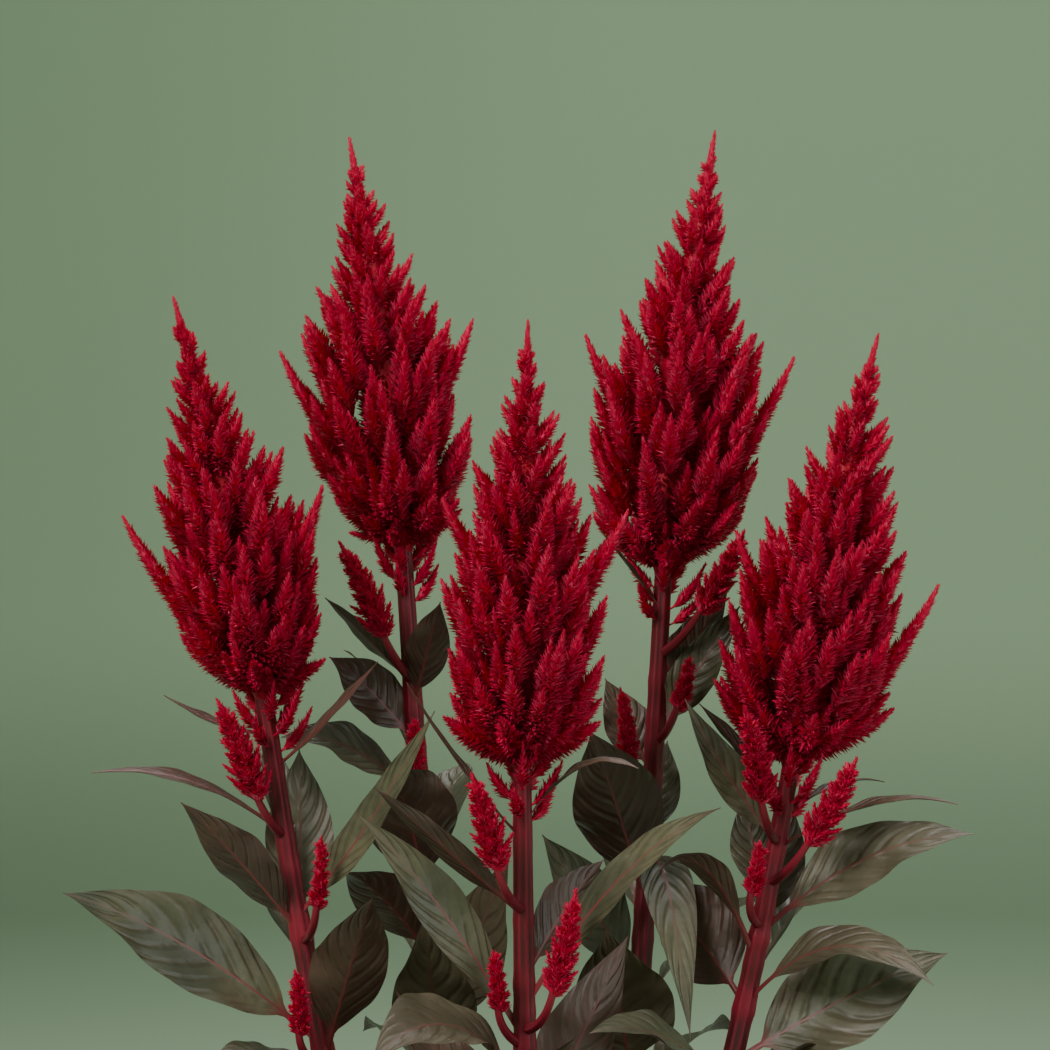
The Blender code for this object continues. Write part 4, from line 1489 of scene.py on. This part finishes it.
@dataclass
class PottingSoil:
    """Crumbly soil with pale grains on it.

    Attributes:
        pot: the pot that it fills.
        rings: points from its middle to the pot's wall.
        sides: points round it.
        gap: how far it stays off the wall, in millimetres.
        crown: how much higher its middle is, in millimetres.
        grains: how many pale grains lie on it.
        grain_radii: the least and the greatest radius of a grain, in millimetres.
    """

    pot: ClayPot
    rings: int = 56
    sides: int = 128
    gap: float = 0.4
    crown: float = 3.0
    grains: int = 420
    grain_radii: tuple[float, float] = (0.5, 1.5)

    def reach(self) -> float:
        """The soil's outer radius, in millimetres."""
        return self.pot.wall_radius(SOIL_LEVEL) - self.pot.wall - self.gap

    def surface(self, x: np.ndarray, y: np.ndarray, edge: np.ndarray) -> np.ndarray:
        """Finds the soil's height, with its clods and crumbs.

        Args:
            x: places across the pot, in millimetres.
            y: places along the line of sight.
            edge: how near the pot's wall they are, from 0 at the middle to 1.

        Returns:
            The height at each, in millimetres.
        """
        clods = 1.3 * np.sin(0.21 * x + 1.0) * np.cos(0.17 * y) + 0.9 * np.sin(0.33 * y + 0.12 * x)
        crumbs = 0.55 * np.sin(1.1 * x + 0.6 * np.sin(0.9 * y)) * np.sin(1.3 * y + 0.7 * np.sin(0.8 * x))
        crumbs = crumbs + 0.35 * np.sin(2.7 * x + y) * np.sin(2.3 * y - 0.8 * x)
        return SOIL_LEVEL + (self.crown + clods) * (1 - edge**2) + crumbs - 0.4

    def ground(self, finish: bpy.types.Material) -> bpy.types.Object:
        """Builds the soil's surface, with a short skirt down the pot's wall.

        Args:
            finish: the soil's material.

        Returns:
            The piece, which stands for the soil's solid.
        """
        edge = np.linspace(0.004, 1, self.rings)
        turn = np.linspace(0, math.tau, self.sides, endpoint=False)
        radius = (edge * self.reach())[:, None] * np.ones_like(turn)[None]
        x, y = radius * np.cos(turn), radius * np.sin(turn)
        z = self.surface(x, y, edge[:, None] * np.ones_like(x))
        skirt = np.stack([x[-1] * 0.97, y[-1] * 0.97, np.full(self.sides, SOIL_LEVEL - 12)], -1)[None]
        spots = np.concatenate([np.stack([x, y, z], -1), skirt]) * MM
        faces = grid_faces(self.rings + 1, self.sides, closed=True)
        sheet = Sheet()
        sheet.add(spots.reshape(-1, 3), faces[:, ::-1], np.zeros((spots.shape[0] * self.sides, 4)))
        piece = sheet.to_object("soil_surface", finish)
        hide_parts("soil")
        return piece

    def scatter(self, finish: bpy.types.Material) -> bpy.types.Object:
        """Scatters the pale grains.

        Args:
            finish: their material.

        Returns:
            The piece that holds them all.
        """
        draw = random.Random(11)
        outer = self.reach()
        bm = bmesh.new()
        for _ in range(self.grains):
            away, angle = outer * math.sqrt(draw.uniform(0.002, 0.96)), draw.uniform(0, math.tau)
            x, y = away * math.cos(angle), away * math.sin(angle)
            z = float(self.surface(np.array(x), np.array(y), np.array(away / outer)))
            radius = draw.uniform(*self.grain_radii) * MM
            made = bmesh.ops.create_icosphere(bm, subdivisions=1, radius=radius)
            for vert in made["verts"]:
                vert.co = vert.co * draw.uniform(0.75, 1.15) + Vector((x, y, z + 0.2)) * MM
        mesh = bpy.data.meshes.new("soil_grains")
        bm.to_mesh(mesh)
        bm.free()
        mesh.materials.append(finish)
        piece = bpy.data.objects.new("soil_grains", mesh)
        bpy.context.scene.collection.objects.link(piece)
        return piece


@dataclass(frozen=True)
class SoftBox:
    """A square studio lamp.

    Attributes:
        name: its name.
        place: where it stands, in metres.
        size: its width, in metres.
        power: its power, in watts.
        colour: the colour of its light.
    """

    name: str
    place: Point
    size: float
    power: float
    colour: Colour

    def light(self, aim: Point) -> None:
        """Adds the lamp.

        Args:
            aim: the point that it faces, in metres.
        """
        lamp = bpy.data.lights.new(self.name, "AREA")
        lamp.size = self.size
        lamp.energy = self.power
        lamp.color = self.colour
        made = bpy.data.objects.new(self.name, lamp)
        made.location = self.place
        made.rotation_euler = (Vector(aim) - Vector(self.place)).to_track_quat("-Z", "Y").to_euler()
        bpy.context.scene.collection.objects.link(made)


@dataclass
class Studio:
    """A plain sweep below and all round the plant, soft lights, and the photograph's level camera.

    Attributes:
        distance: how far the camera is from the pot's axis, in metres, as all its sizes are.
        eye_height: the camera's height.
        view_width: how much the picture shows from side to side at that axis.
        sensor: the camera's sensor, in millimetres.
        reach: the sweep's radius.
        corner: the radius of the round corner between its floor and its wall.
        top: its height.
        bends: steps round that corner.
        sides: steps round the sweep.
        aim: the point that the lamps face.
        air: the colour and the strength of the light from all round.
    """

    distance: float = 1.5
    eye_height: float = 0.379
    view_width: float = 0.3675
    sensor: float = 36.0
    reach: float = 3.8
    corner: float = 1.1
    top: float = 4.2
    bends: int = 12
    sides: int = 64
    aim: Point = (0.0, 0.0, 0.36)
    air: tuple[Colour, float] = ((0.92, 0.97, 0.93), 0.50)

    LAMPS: ClassVar[tuple[SoftBox, ...]] = (
        SoftBox("key_box", (-1.0, -1.3, 1.5), 1.0, 44.0, (1.0, 0.97, 0.93)),
        SoftBox("fill_box", (1.5, -1.2, 0.8), 1.4, 16.0, (0.95, 0.98, 1.0)),
        SoftBox("top_box", (0.1, 0.5, 1.9), 1.2, 22.0, (1.0, 1.0, 1.0)),
    )

    def sweep(self) -> None:
        """Builds the floor and backdrop as one curved sheet that runs all the way round."""
        flat = self.reach - self.corner
        profile = [(0.01, 0.0), (flat, 0.0)]
        for k in range(1, self.bends + 1):
            angle = math.pi / 2 * k / self.bends
            rise = self.corner - self.corner * math.cos(angle)
            profile.append((flat + self.corner * math.sin(angle), rise))
        profile.append((self.reach, self.top))
        turn = np.linspace(0, math.tau, self.sides, endpoint=False)
        radius, level = np.array(profile).T[:, :, None]
        upright = np.repeat(level, self.sides, 1)
        spots = np.stack([radius * np.cos(turn), radius * np.sin(turn), upright], -1)
        faces = grid_faces(len(profile), self.sides, closed=True)
        sheet = Sheet()
        sheet.add(spots.reshape(-1, 3), faces, np.zeros((spots.shape[0] * self.sides, 4)))
        sheet.to_object("studio_sweep", SweepFinish().make())

    def surround(self) -> None:
        """Sets the even light from all round."""
        colour, strength = self.air
        world = bpy.data.worlds.new("studio_air")
        world.use_nodes = True
        air = world.node_tree.nodes["Background"]
        air.inputs["Color"].default_value = (*colour, 1.0)
        air.inputs["Strength"].default_value = strength
        bpy.context.scene.world = world

    def camera(self) -> None:
        """Sets the camera level, straight in front of the pot."""
        lens = bpy.data.cameras.new("photo_camera")
        lens.sensor_width = self.sensor
        lens.lens = self.sensor * self.distance / self.view_width
        lens.clip_start = 0.05
        made = bpy.data.objects.new("photo_camera", lens)
        made.location = (0.0, -self.distance, self.eye_height)
        made.rotation_euler = (math.pi / 2, 0.0, 0.0)
        bpy.context.scene.collection.objects.link(made)
        bpy.context.scene.camera = made

    def build(self) -> None:
        """Sets the sweep, the lamps, the light from all round and the camera."""
        self.sweep()
        for lamp in self.LAMPS:
            lamp.light(self.aim)
        self.surround()
        self.camera()


def report(piece: bpy.types.Object) -> None:
    """Lets a piece ride with the plant and logs what it is.

    Args:
        piece: the piece.
    """
    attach(piece, "root")
    LOG.info("%s: %d faces", piece.name, len(piece.data.polygons))


def main() -> None:
    """Builds the studio, the pot, the soil, and each stem with its leaves and plumes."""
    logging.basicConfig(level=logging.INFO, format="%(name)s %(message)s")
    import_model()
    Studio().build()
    florets, leaf, stem = FloretFinish().make(), LeafFinish().make(), StemFinish().make()
    pot = ClayPot()
    report(pot.build(ClayFinish().make()))
    soil = PottingSoil(pot)
    report(soil.ground(SoilFinish().make()))
    report(soil.scatter(PlainFinish("pale_grains", (0.30, 0.25, 0.19)).make()))
    for plan in STEMS:
        for piece in LeafyStem(plan).build(stem, leaf):
            report(piece)
        report(Plume(plan).build(florets))
    counts: dict[str, int] = {}
    for row in SIDE_PLUMES:
        counts[row.stem] = counts.get(row.stem, 0) + 1
        report(SidePlume(row, counts[row.stem]).build(florets))


if __name__ == "__main__":
    main()
